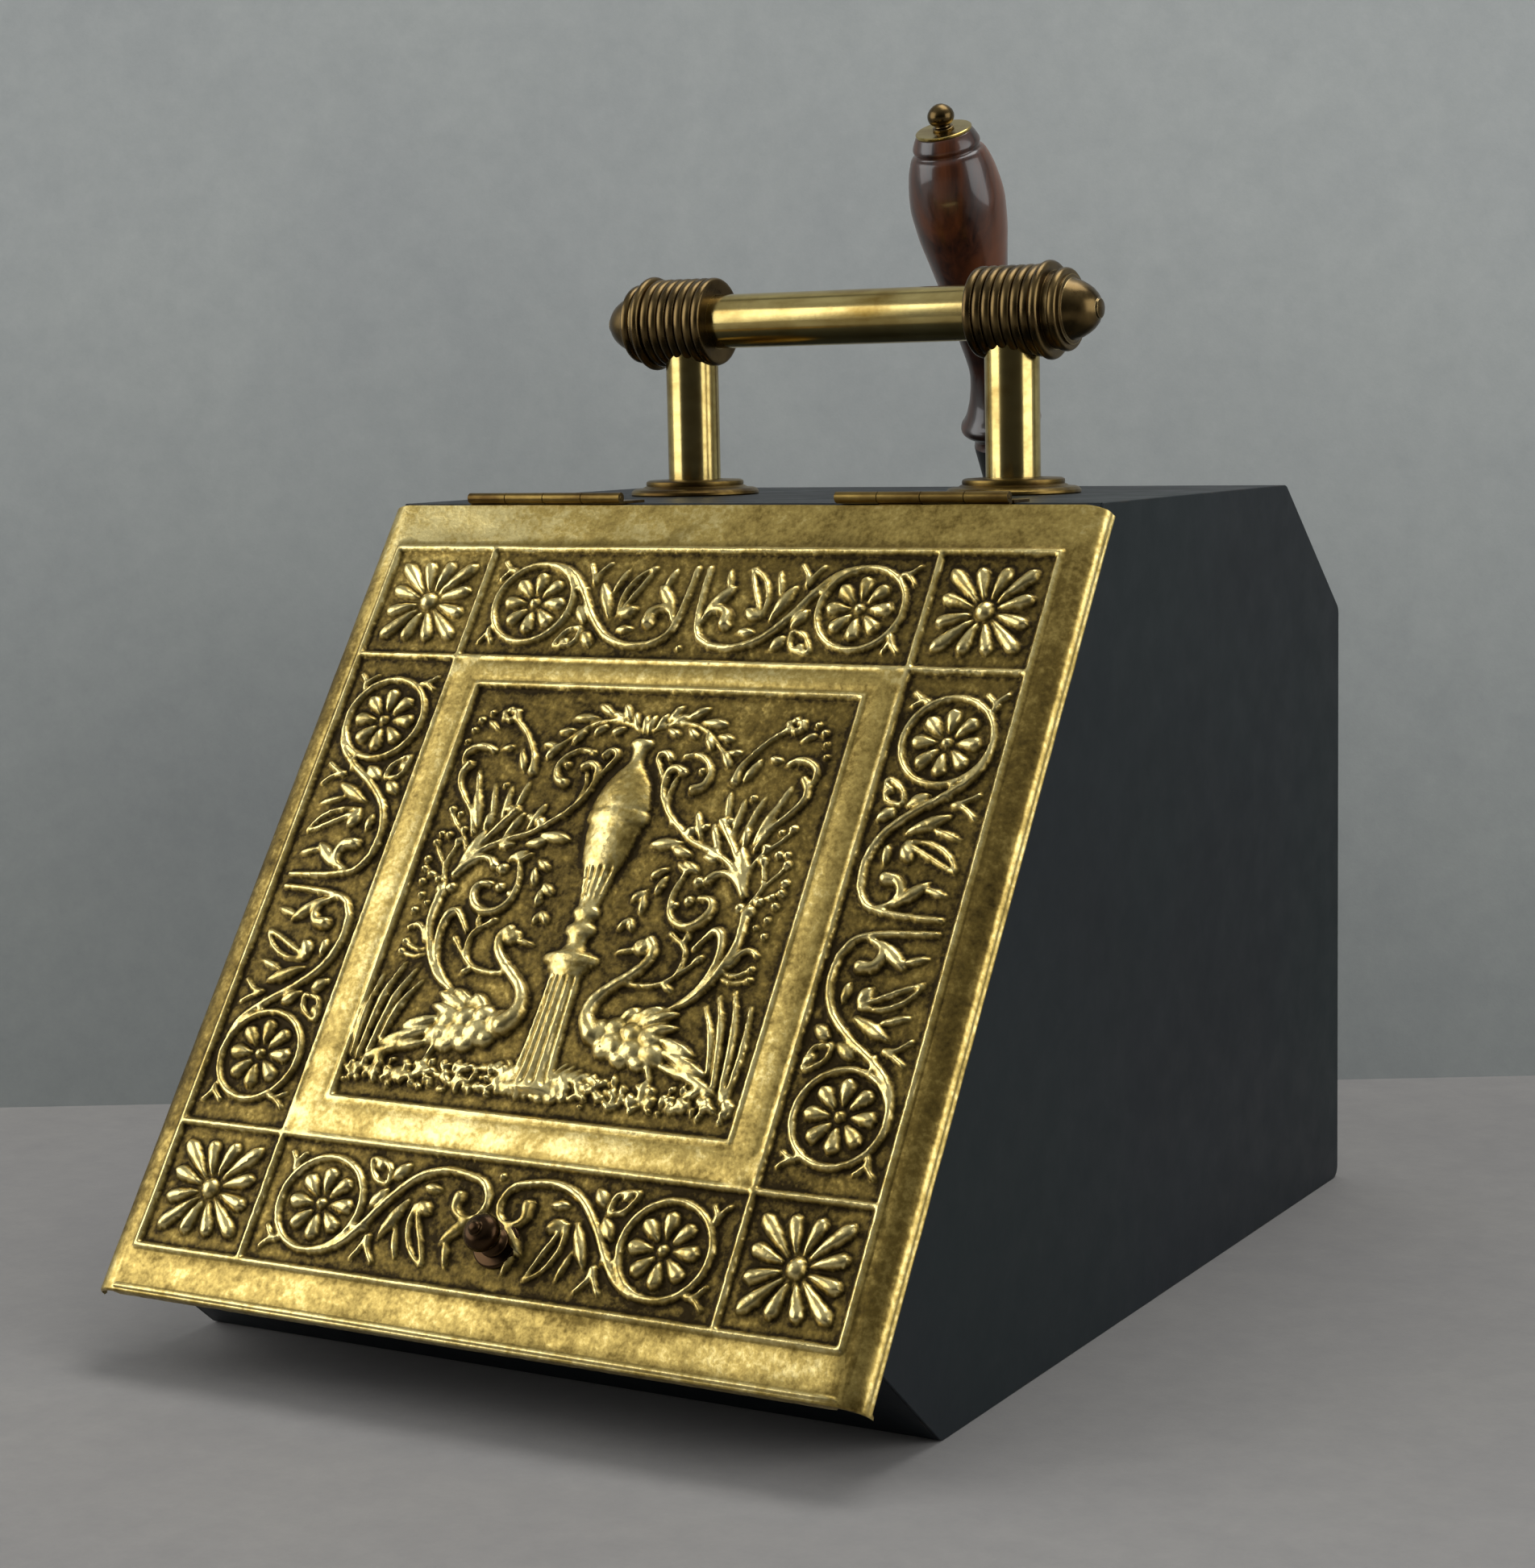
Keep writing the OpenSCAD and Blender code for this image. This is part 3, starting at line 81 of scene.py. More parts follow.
def objectCoords(tree, stretch=(1, 1, 1)):
    raw = addNode(tree, "ShaderNodeTexCoord").outputs["Object"]
    if stretch == (1, 1, 1):
        return raw
    return addNode(tree, "ShaderNodeMapping", {"Vector": raw, "Scale": stretch}).outputs[0]


def noise(tree, coords, scale, detail=3, rough=0.55, bend=0.0):
    inputs = {"Vector": coords, "Scale": scale, "Detail": detail, "Roughness": rough, "Distortion": bend}
    return addNode(tree, "ShaderNodeTexNoise", inputs).outputs[0]


def spread(tree, value, low, high, toLow=0.0, toHigh=1.0):
    inputs = {"Value": value, "From Min": low, "From Max": high, "To Min": toLow, "To Max": toHigh}
    return addNode(tree, "ShaderNodeMapRange", inputs).outputs[0]


def calc(tree, operation, a, b):
    return addNode(tree, "ShaderNodeMath", {0: a, 1: b}, operation=operation).outputs[0]


def blendColour(tree, factor, a, b, how="MIX"):
    inputs = {0: factor, 6: a, 7: b}
    return addNode(tree, "ShaderNodeMix", inputs, data_type="RGBA", blend_type=how).outputs[2]


def bumpFrom(tree, shader, height, strength, distance):
    bump = addNode(tree, "ShaderNodeBump", {"Height": height, "Strength": strength, "Distance": distance})
    tree.links.new(bump.outputs[0], shader.inputs["Normal"])


def edgeWearAndHighlight(tree, reach=1.2, low=0.02, high=0.25):
    # high close to an edge, where the rounded normal leaves the true one
    soft = addNode(tree, "ShaderNodeBevel", {"Radius": reach * mm}, samples=4).outputs[0]
    flat = addNode(tree, "ShaderNodeNewGeometry").outputs["Normal"]
    along = addNode(tree, "ShaderNodeVectorMath", {0: soft, 1: flat}, operation="DOT_PRODUCT")
    return spread(tree, calc(tree, "SUBTRACT", 1.0, along.outputs["Value"]), low, high)


def setFinish(tree, shader, colour, roughness, metallic=0.0):
    # colour and roughness come from nodes, and how metallic it is stays even
    tree.links.new(colour, shader.inputs["Base Color"])
    tree.links.new(roughness, shader.inputs["Roughness"])
    shader.inputs["Metallic"].default_value = metallic


cameraSpec = {
    "place": (0.57071, -1.02566, 0.32636),      # metres
    "azimuth": 29.838,      # degrees round from the front, towards +X
    "down": 7.086,          # degrees it looks below the horizon
    "roll": -1.194,
    "lens": 71.12,
}


def addCamera():
    az, el, roll = (math.radians(cameraSpec[k]) for k in ("azimuth", "down", "roll"))
    back = Vector((math.sin(az) * math.cos(el), -math.cos(az) * math.cos(el), math.sin(el)))
    level = Vector((math.cos(az), math.sin(az), 0))
    above = level.cross(-back)
    right = level * math.cos(roll) + above * math.sin(roll)
    up = -level * math.sin(roll) + above * math.cos(roll)
    data = bpy.data.cameras.new("photoCamera")
    data.lens = cameraSpec["lens"]
    camera = bpy.data.objects.new("photoCamera", data)
    camera.matrix_world = Matrix((right, up, back)).transposed().to_4x4()
    camera.location = cameraSpec["place"]
    bpy.context.scene.collection.objects.link(camera)
    bpy.context.scene.camera = camera


# the studio's lengths are in metres
studioSpec = {
    "floorColour": srgb(152, 149, 146),
    # the backdrop's foot colour is darker than its top colour: a painted shade towards the floor
    "wallTop": srgb(181, 185, 183),
    "wallFootPaintedShade": srgb(154, 158, 156),
    "wallRise": 0.42,            # height over which the backdrop turns from one to the other
    "wallAway": 0.268,           # from the origin to the foot of the backdrop, along the view
    "wallLean": 14,              # degrees the backdrop leans back, clear of the opened lid
    "roughness": 0.85,
    "reach": 4.0,                # how far the floor and the backdrop run
    "roomDark": srgb(46, 46, 47),
    "roomLight": srgb(174, 177, 179),
    "roomFade": (-0.75, 0.7),    # where the room turns from dark to light, along the view
    "roomLift": 0.9,             # how much of the light reaches overhead
    "boxTarget": (0, 0, 0.2),
    # name: degrees round from the camera, height angle, distance, width, height, watts
    "boxes": {
        "leftBox": (-84, 20, 1.7, 1.5, 1.4, 17),
        "rightBox": (62, 16, 1.7, 1.3, 1.2, 12),
        "topBox": (125, 76, 1.6, 1.0, 0.9, 12),
    },
}


def addSoftBox(name, around, height, distance, width, tall, watts):
    a = math.radians(cameraSpec["azimuth"] + around)
    e = math.radians(height)
    away = Vector((math.sin(a) * math.cos(e), -math.cos(a) * math.cos(e), math.sin(e)))
    data = bpy.data.lights.new(name, "AREA")
    data.shape = "RECTANGLE"
    data.size = width
    data.size_y = tall
    data.energy = watts
    light = bpy.data.objects.new(name, data)
    light.rotation_euler = away.to_track_quat("Z", "Y").to_euler()
    light.location = Vector(studioSpec["boxTarget"]) + away * distance
    bpy.context.scene.collection.objects.link(light)


def viewAxes():
    # level directions away from the camera and to its right
    az = math.radians(cameraSpec["azimuth"])
    return Vector((-math.sin(az), math.cos(az), 0)), Vector((math.cos(az), math.sin(az), 0))


def addRoom():
    # pale towards the backdrop and overhead, dark behind the camera
    spec = studioSpec
    world = bpy.data.worlds.new("room")
    bpy.context.scene.world = world
    world.use_nodes = True
    tree = world.node_tree
    where = addNode(tree, "ShaderNodeTexCoord").outputs["Generated"]
    light = tuple(viewAxes()[0] + Vector((0, 0, spec["roomLift"])))
    facing = addNode(tree, "ShaderNodeVectorMath", {0: where, 1: light}, operation="DOT_PRODUCT")
    fade = spread(tree, facing.outputs["Value"], *spec["roomFade"])
    mixed = blendColour(tree, fade, spec["roomDark"], spec["roomLight"])
    tree.links.new(mixed, tree.nodes["Background"].inputs["Color"])


def addSheet(name, corners):
    mesh = bpy.data.meshes.new(name)
    mesh.from_pydata([tuple(p) for p in corners], [], [(0, 1, 2, 3)])
    obj = bpy.data.objects.new(name, mesh)
    bpy.context.scene.collection.objects.link(obj)
    mat, tree, shader = newMaterial(name)
    mesh.materials.append(mat)
    shader.inputs["Roughness"].default_value = studioSpec["roughness"]
    return tree, shader


paperSpec = {
    # scale, detail and roughness of a noise, where it starts and ends, and its two tones
    "veils": [(5.0, 9, 0.72, 0.25, 0.75, srgb(238, 238, 240), srgb(255, 255, 253)),
              (55.0, 6, 0.8, 0.3, 0.7, srgb(240, 241, 242), srgb(255, 255, 255))],
    "tooth": 900.0,
}


def paperTone(tree, shader, tone):
    # a tone with soft clouds, fibres and a fine tooth
    coords = objectCoords(tree)
    for scale, detail, rough, low, high, dark, light in paperSpec["veils"]:
        cloud = noise(tree, coords, scale, detail, rough)
        veil = blendColour(tree, spread(tree, cloud, low, high), dark, light)
        tone = blendColour(tree, 1.0, tone, veil, "MULTIPLY")
    tree.links.new(tone, shader.inputs["Base Color"])
    bumpFrom(tree, shader, noise(tree, coords, paperSpec["tooth"], 2), 0.15, 0.0003)


def addBackdrop():
    spec = studioSpec
    away, side = viewAxes()
    reach = spec["reach"]
    line = away * spec["wallAway"]
    tree, shader = addSheet("floor", [-away * reach - side * reach, -away * reach + side * reach,
                                      away * reach + side * reach, away * reach - side * reach])
    paperTone(tree, shader, spec["floorColour"])
    lean = math.radians(spec["wallLean"])
    top = line + (away * math.sin(lean) + Vector((0, 0, math.cos(lean)))) * reach
    tree, shader = addSheet("backdrop", [line - side * reach, line + side * reach,
                                         top + side * reach, top - side * reach])
    # painted shade: the backdrop turns darker from its top colour to its foot colour near the floor
    height = addNode(tree, "ShaderNodeSeparateXYZ", {0: objectCoords(tree)}).outputs[2]
    rise = spread(tree, height, 0.0, spec["wallRise"])
    paperTone(tree, shader, blendColour(tree, rise, spec["wallFootPaintedShade"], spec["wallTop"]))
    # one-sided, so it hides nothing from behind
    back = addNode(tree, "ShaderNodeNewGeometry").outputs["Backfacing"]
    clear = addNode(tree, "ShaderNodeBsdfTransparent").outputs[0]
    both = addNode(tree, "ShaderNodeMixShader", {0: back, 1: shader.outputs[0], 2: clear}).outputs[0]
    tree.links.new(both, tree.nodes["Material Output"].inputs["Surface"])


def addStudio():
    for name, box in studioSpec["boxes"].items():
        addSoftBox(name, *box)
    addRoom()
    addBackdrop()
    bpy.context.scene.view_settings.view_transform = "Standard"


casePaintSpec = {
    "dark": srgb(14, 21, 27),
    "light": srgb(20, 28, 34),
    "green": srgb(14, 27, 29),
    "iron": srgb(74, 62, 50),        # shows where the paint is rubbed thin along the edges
    "roughness": (0.4, 0.52),
    "specular": 0.3,
    "peel": (420.0, 0.25, 0.00012),  # scale, strength and depth of its unevenness
}


def makeCasePaint():
    spec = casePaintSpec
    mat, tree, shader = newMaterial("casePaint")
    coords = objectCoords(tree)
    cloud = spread(tree, noise(tree, coords, 9.0, 4, 0.6), 0.35, 0.68)
    green = spread(tree, noise(tree, coords, 4.0, 2), 0.46, 0.7)
    base = blendColour(tree, cloud, spec["dark"], spec["light"])
    tinted = blendColour(tree, green, base, spec["green"])
    broken = spread(tree, noise(tree, coords, 140.0, 4), 0.5, 0.6)
    scuff = calc(tree, "MULTIPLY", edgeWearAndHighlight(tree), broken)
    colour = blendColour(tree, scuff, tinted, spec["iron"])
    fine = noise(tree, coords, 60.0, 3)
    setFinish(tree, shader, colour, spread(tree, fine, 0.3, 0.7, *spec["roughness"]))
    shader.inputs["Specular IOR Level"].default_value = spec["specular"]
    scale, strength, depth = spec["peel"]
    bumpFrom(tree, shader, noise(tree, coords, scale, 2), strength, depth)
    return mat


lidBrassSpec = {
    "bright": srgb(232, 212, 144),
    "plain": srgb(181, 157, 88),
    "brown": srgb(116, 97, 48),
    "black": srgb(46, 37, 20),
    "steps": (0.3, 0.62),            # tarnish at which the brass is plain and brown
    "roughness": (0.28, 0.56),
    # scale, detail and roughness of a noise, where it starts and ends, and the tarnish it adds
    "mottles": [(24.0, 5, 0.6, 0.3, 0.7, -0.12, 0.12), (120.0, 4, 0.65, 0.35, 0.72, -0.08, 0.22),
                (9.0, 3, 0.5, 0.4, 0.7, -0.03, 0.12)],
    "speck": (520.0, -0.13, 0.13),
    "tooth": (0.5, 0.0002),
}


def makeLidBrass():
    # aged brass: bright crests, brown wear on the plain parts, near black in the hollows
    spec = lidBrassSpec
    mat, tree, shader = newMaterial("lidBrass")
    coords = objectCoords(tree)
    # the pressed patina, with the painted shade and painted highlight of a few patches, sets the brass's
    # tone
    wearAndShade = addNode(tree, "ShaderNodeAttribute", attribute_name="patinaAndPaintedLight").outputs["Fac"]
    for scale, detail, rough, low, high, less, more in spec["mottles"]:
        mottle = noise(tree, coords, scale, detail, rough)
        wearAndShade = calc(tree, "ADD", wearAndShade, spread(tree, mottle, low, high, less, more))
    scale, less, more = spec["speck"]
    speck = noise(tree, coords, scale, 3)
    wearAndShade = calc(tree, "ADD", wearAndShade, spread(tree, speck, 0.3, 0.7, less, more))
    plain, brown = spec["steps"]
    colour = blendColour(tree, spread(tree, wearAndShade, 0.0, plain), spec["bright"], spec["plain"])
    colour = blendColour(tree, spread(tree, wearAndShade, plain, brown), colour, spec["brown"])
    colour = blendColour(tree, spread(tree, wearAndShade, brown, 1.0), colour, spec["black"])
    setFinish(tree, shader, colour, spread(tree, wearAndShade, 0.0, 1.0, *spec["roughness"]), 1.0)
    bumpFrom(tree, shader, speck, *spec["tooth"])
    return mat


brassSpec = {
    # bright and dull colours, where the tarnish starts and ends, and roughness
    "polishedBrass": (srgb(208, 188, 122), srgb(146, 119, 58), 0.4, 0.76, 0.16),
    "agedBrass": (srgb(150, 126, 68), srgb(84, 64, 32), 0.3, 0.66, 0.3),
}


def makeBrass(name):
    # smooth brass with a thin even tarnish and faint streaks along the bar
    bright, dull, low, high, rough = brassSpec[name]
    mat, tree, shader = newMaterial(name)
    coords = objectCoords(tree)
    film = spread(tree, noise(tree, coords, 34.0, 5, 0.6), low, high)
    streak = spread(tree, noise(tree, objectCoords(tree, (0.15, 1, 1)), 260.0, 3), 0.4, 0.7, 0, 0.35)
    mixed = calc(tree, "ADD", film, streak)
    colour = blendColour(tree, mixed, bright, dull)
    setFinish(tree, shader, colour, spread(tree, film, 0, 1, rough, rough + 0.1), 1.0)
    bumpFrom(tree, shader, noise(tree, coords, 500.0, 3), 0.08, 0.0001)
    return mat


bronzeSpec = {
    # two tones that cloud into each other, and the pale edges: rubbed metal and a painted highlight along
    # each crest
    "bronze": (srgb(84, 68, 42), srgb(116, 96, 60), srgb(196, 174, 124)),
    "darkBronze": (srgb(50, 36, 24), srgb(74, 55, 36), srgb(120, 98, 64)),
}


def makeBronze(name):
    deep, light, edge = bronzeSpec[name]
    mat, tree, shader = newMaterial(name)
    coords = objectCoords(tree)
    cloud = spread(tree, noise(tree, coords, 90.0, 4), 0.35, 0.65)
    base = blendColour(tree, cloud, deep, light)
    # the pale edge colour is rubbed metal and also a painted highlight on each reed's crest
    colour = blendColour(tree, edgeWearAndHighlight(tree, 0.5, 0.0, 0.12), base, edge)
    setFinish(tree, shader, colour, spread(tree, cloud, 0, 1, 0.24, 0.36), 1.0)
    bumpFrom(tree, shader, noise(tree, coords, 600.0, 3), 0.15, 0.0001)
    return mat


ironSpec = {
    # dark and light tones, how metallic, and roughness
    "bareIron": (srgb(92, 92, 90), srgb(142, 141, 138), 1.0, 0.42),
    "blackIron": (srgb(24, 25, 26), srgb(50, 50, 50), 0.55, 0.5),
}


def makeIron(name):
    dark, light, metallic, rough = ironSpec[name]
    mat, tree, shader = newMaterial(name)
    coords = objectCoords(tree)
    cloud = spread(tree, noise(tree, coords, 35.0, 5, 0.6), 0.32, 0.68)
    colour = blendColour(tree, cloud, dark, light)
    setFinish(tree, shader, colour, spread(tree, cloud, 0, 1, rough - 0.08, rough + 0.08), metallic)
    bumpFrom(tree, shader, noise(tree, coords, 330.0, 4), 0.3, 0.00015)
    return mat


galvanisedSpec = {
    "spangle": 120.0,
    "tones": (srgb(160, 165, 168), srgb(180, 185, 188)),
    "roughness": (0.47, 0.54),
    "metallic": 0.85,
}


def makeGalvanised():
    # zinc in flat crystals, each with a tone of its own
    spec = galvanisedSpec
    mat, tree, shader = newMaterial("galvanised")
    coords = objectCoords(tree)
    spangle = addNode(tree, "ShaderNodeTexVoronoi", {"Vector": coords, "Scale": spec["spangle"]})
    tone = addNode(tree, "ShaderNodeSeparateColor", {0: spangle.outputs["Color"]}).outputs[0]
    colour = blendColour(tree, tone, *spec["tones"])
    setFinish(tree, shader, colour, spread(tree, tone, 0, 1, *spec["roughness"]), spec["metallic"])
    bumpFrom(tree, shader, noise(tree, coords, 260.0, 3), 0.15, 0.0001)
    return mat


mahoganySpec = {
    "grain": (srgb(36, 16, 8), srgb(84, 42, 18)),
    "warm": srgb(126, 66, 24),
    "dark": srgb(26, 12, 7),
    "roughness": (0.28, 0.42),
    "polish": 0.55,                  # weight of the clear coat
    "polishRoughness": 0.1,
}


def makeMahogany():
    # streaks along the grip, with warm and dark figure over them
    spec = mahoganySpec
    mat, tree, shader = newMaterial("mahogany")
    along = objectCoords(tree, (1, 1, 0.12))
    grain = noise(tree, along, 240.0, 6, 0.65, 0.6)
    figure = noise(tree, along, 34.0, 4, 0.5, 1.2)
    base = blendColour(tree, spread(tree, grain, 0.35, 0.65), *spec["grain"])
    warm = blendColour(tree, spread(tree, figure, 0.5, 0.66, 0, 0.6), base, spec["warm"])
    colour = blendColour(tree, spread(tree, figure, 0.36, 0.48, 0.85, 0), warm, spec["dark"])
    setFinish(tree, shader, colour, spread(tree, grain, 0.3, 0.7, *spec["roughness"]))
    shader.inputs["Coat Weight"].default_value = spec["polish"]
    shader.inputs["Coat Roughness"].default_value = spec["polishRoughness"]
    bumpFrom(tree, shader, grain, 0.08, 0.0001)
    return mat


addStudio()
addCamera()
say("camera, floor and lights are in")

finishes = {
    "case_paint": makeCasePaint(),
    "lid_brass": makeLidBrass(),
    "polished_brass": makeBrass("polishedBrass"),
    "aged_brass": makeBrass("agedBrass"),
    "bronze": makeBronze("bronze"),
    "dark_bronze": makeBronze("darkBronze"),
    "bare_iron": makeIron("bareIron"),
    "black_iron": makeIron("blackIron"),
    "galvanised": makeGalvanised(),
    "mahogany": makeMahogany(),
}
say("materials are mixed")


def applied(mesh, kind, **settings):
    # the mesh with one modifier applied
    holder = bpy.data.objects.new("bench", mesh)
    bpy.context.scene.collection.objects.link(holder)
    tool = holder.modifiers.new(kind, kind)
    for key, value in settings.items():
        setattr(tool, key, value)
    graph = bpy.context.evaluated_depsgraph_get()
    done = bpy.data.meshes.new_from_object(holder.evaluated_get(graph))
    bpy.data.objects.remove(holder)
    return done


def facesOutward(mesh, triangles=False):
    # turns every face of a closed mesh outward, cut into triangles if asked
    work = bmesh.new()
    work.from_mesh(mesh)
    if triangles:
        bmesh.ops.triangulate(work, faces=work.faces)
    bmesh.ops.recalc_face_normals(work, faces=work.faces)
    work.to_mesh(mesh)
    work.free()
    return mesh


def addPiece(name, mesh, body, finish, nodes, sharp=35, flats=True):
    # puts a finished mesh in the scene, dressed, riding and standing for its nodes
    mesh.shade_smooth()
    mesh.set_sharp_from_angle(angle=math.radians(sharp))
    if flats:
        # large faces keep their own direction, so flats stay flat beside rounded edges
        mesh = applied(mesh, "WEIGHTED_NORMAL", weight=100, keep_sharp=True)
    mesh.name = name
    obj = bpy.data.objects.new(name, mesh)
    bpy.context.scene.collection.objects.link(obj)
    mesh.materials.clear()
    mesh.materials.append(finishes[finish])
    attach(obj, body)
    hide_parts(*nodes)


dressSpec = {
    "weld": 2e-6,            # metres between points that become one
    "levelWithin": 0.5,      # degrees between faces that become one
    "roundFrom": 30,         # degrees at an edge that is rounded
    "segments": 2,
}


def dress(node, body, finish, edge):
    # the node's own shape with its edges rounded, as pressed and cut iron has them
    spec = dressSpec
    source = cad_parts[node].data.copy()
    work = bmesh.new()
    work.from_mesh(source)
    bmesh.ops.remove_doubles(work, verts=work.verts, dist=spec["weld"])
    level = math.radians(spec["levelWithin"])
    bmesh.ops.dissolve_limit(work, angle_limit=level, verts=work.verts, edges=work.edges)
    work.to_mesh(source)
    work.free()
    mesh = applied(source, "BEVEL", width=edge * mm, segments=spec["segments"], limit_method="ANGLE",
                   angle_limit=math.radians(spec["roundFrom"]), use_clamp_overlap=True)
    addPiece(node + "_dressed", mesh, body, finish, (node,))


def dressAll(groups):
    # each group: body, finish, width of the rounded edges, nodes
    for body, finish, edge, nodes in groups.values():
        for node in nodes:
            dress(node, body, finish, edge)


def lathe(profile, origin, axis, turns=96):
    # turns a closed outline of (distance along the axis, radius) points, in mm
    axis = Vector(axis).normalized()
    side = axis.orthogonal().normalized()
    third = axis.cross(side)
    origin = Vector(origin)
    points = []
    faces = []
    rings = []
    for s, r in profile:
        centre = origin + axis * s
        if r < 1e-6:
            # on the axis one point does for the ring
            rings.append([len(points)])
            points.append(centre * mm)
            continue
        rings.append(list(range(len(points), len(points) + turns)))
        for i in range(turns):
            g = math.tau * i / turns
            points.append((centre + side * (r * math.cos(g)) + third * (r * math.sin(g))) * mm)
    closed = len(rings[0]) > 1 and len(rings[-1]) > 1
    pairs = list(zip(rings, rings[1:])) + ([(rings[-1], rings[0])] if closed else [])
    for a, b in pairs:
        for i in range(turns):
            j = (i + 1) % turns
            corners = [a[i % len(a)], a[j % len(a)], b[j % len(b)], b[i % len(b)]]
            face = [c for k, c in enumerate(corners) if c != corners[k - 1]]
            if len(face) > 2:
                faces.append(face)
    mesh = bpy.data.meshes.new("turned")
    mesh.from_pydata([tuple(p) for p in points], [], faces)
    return facesOutward(mesh)


def smoothLine(points, steps=8):
    # an even curve through the points, which it meets
    pts = [np.array(p, float) for p in points]
    if len(pts) < 3:
        return np.array(pts)
    ends = [2 * pts[0] - pts[1]] + pts + [2 * pts[-1] - pts[-2]]
    out = []
    for a, b, c, d in zip(ends, ends[1:], ends[2:], ends[3:]):
        for k in range(steps):
            t = k / steps
            out.append(0.5 * (2 * b + (c - a) * t + (2 * a - 5 * b + 4 * c - d) * t ** 2
                              + (3 * b - a - 3 * c + d) * t ** 3))
    return np.array(out + [pts[-1]])


def middle(node):
    low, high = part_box(node)
    return (low + high) / 2 / mm


caseSpec = {
    "sheets": ("case", "case_paint", 0.35, ("side_left", "side_right", "back_sheet", "base_sheet")),
    "ironwork": ("case", "black_iron", 0.4, ("mouth_frame", "shovel_shoe", "shovel_fork", "stiffener")),
    "liner": ("case", "galvanised", 0.35, ("liner", "liner_grip")),
    "paintedRivets": ("case", "case_paint", 0.15, ("seam_rivets", "bracket_rivets")),
    "linerRivets": ("case", "galvanised", 0.15, ("liner_rivets",)),
    "fixings": ("case", "bare_iron", 0.15, ("post_studs", "stud_washers", "stud_nuts", "tie_rod")),
}
dressAll(caseSpec)
say("case is made")


handleSpec = {
    "barRadius": 10.5,
    "postRadius": 10.4,
    "wall": 1.8,             # of the bar's and the posts' tube
    "barRings": 30,          # rings of faces along the bar
    "turns": 128,            # faces round a turned part
    "gap": 0.1,              # between the collar and the bar, and between reeds
    "reeds": 7,
    "reedSteps": 10,
    "reedPitch": 3.9,
    "reedRadius": 17.2,
    "reedDepth": 1.45,
    "endDrop": 0.6,          # the collar's end lies this far inside the reeds' hollows
    "bigRingWidth": 3.8,
    "bigRingRadius": 18.45,
    "bigRingDepth": 2.2,
    "grooveWidth": 2.6,
    "grooveRadius": 14.5,
    "endRingWidth": 3.6,
    "endRingRadius": 15.5,
    "endRingDepth": 1.3,
    # distance from the collar and radius along the acorn cap
    "cap": [(0, 13), (0.8, 13), (1.1, 11.6), (2.2, 11.1), (4.2, 10.5), (6.4, 9.3), (8.4, 7.9),
            (10, 6.2), (10.9, 4.7), (11.3, 3.9), (12, 3.6), (12.5, 2.4), (12.6, 0)],
    # height above the top sheet and radius of the rose, then of its socket and the stud's hole
    "rose": [(0, 25.2), (0.5, 25.5), (1.4, 25.4), (2.3, 24.6), (2.7, 23.4), (2.75, 21.8),
             (2.9, 20.9), (3.4, 20.2), (3.8, 19.3), (4.6, 19.45), (5.4, 19.3), (5.9, 18.4),
             (6, 17), (5.85, 14.5), (6.1, 12.6), (6.2, 11.2), (3.2, 10.45), (3.1, 5), (0, 5)],
}


def reedRing(start, width, radius, depth):
    half = width / 2
    steps = handleSpec["reedSteps"]
    return [(start + half - half * math.cos(math.pi * k / steps),
             radius - depth + depth * math.sin(math.pi * k / steps) ** 0.8) for k in range(steps + 1)]


def collarProfile():
    # reeds from the inner end, then the big ring, the groove and the end ring
    h = handleSpec
    gap, pitch = h["gap"], h["reedPitch"]
    bore = h["barRadius"] + gap
    line = [(0, bore), (0, h["reedRadius"] - h["reedDepth"] - h["endDrop"])]
    for k in range(h["reeds"]):
        line += reedRing(k * pitch + gap, pitch - 2 * gap, h["reedRadius"], h["reedDepth"])
    at = h["reeds"] * pitch
    line += reedRing(at + gap, h["bigRingWidth"] - gap, h["bigRingRadius"], h["bigRingDepth"])
    at += h["bigRingWidth"]
    line += [(at + gap, h["grooveRadius"]), (at + h["grooveWidth"] - gap, h["grooveRadius"])]
    at += h["grooveWidth"]
    line += reedRing(at, h["endRingWidth"] - gap / 2, h["endRingRadius"], h["endRingDepth"])
    return line + [(at + h["endRingWidth"] - gap / 5, bore)]


def makeHandle():
    h = handleSpec
    turns = h["turns"]
    bar = middle("handle_bar")
    low, high = (p.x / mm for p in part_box("handle_bar"))
    bore = h["barRadius"] - h["wall"]
    shell = [(x, h["barRadius"]) for x in np.linspace(low, high, h["barRings"])]
    mesh = lathe([(low, bore)] + shell + [(high, bore)], (0, bar.y, bar.z), (1, 0, 0), turns)
    addPiece("bar", mesh, "case", "polished_brass", ("handle_bar",))
    for end, side in (("left", -1), ("right", 1)):
        post = middle("post_" + end)
        low, high = (p.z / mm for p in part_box("post_" + end))
        bore = h["postRadius"] - h["wall"]
        tube = [(low, bore), (low, h["postRadius"]), (high, h["postRadius"]), (high, bore)]
        mesh = lathe(tube, (post.x, post.y, 0), (0, 0, 1), turns)
        addPiece("postTube_" + end, mesh, "case", "polished_brass", ("post_" + end,))

        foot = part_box("rose_" + end)[0].z / mm
        mesh = lathe(h["rose"], (post.x, post.y, foot), (0, 0, 1), turns)
        addPiece("roseTurned_" + end, mesh, "case", "aged_brass", ("rose_" + end,))

        inside = min(abs(p.x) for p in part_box("collar_" + end)) / mm
        mesh = lathe(collarProfile(), (side * inside, bar.y, bar.z), (side, 0, 0), turns)
        addPiece("collarTurned_" + end, mesh, "case", "bronze", ("collar_" + end,), sharp=50)

        root = min(abs(p.x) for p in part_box("cap_" + end)) / mm
        mesh = lathe([(0, 0)] + h["cap"], (side * root, bar.y, bar.z), (side, 0, 0))
        addPiece("acornCap_" + end, mesh, "case", "bronze", ("cap_" + end,), sharp=40)


makeHandle()
say("handle is turned")


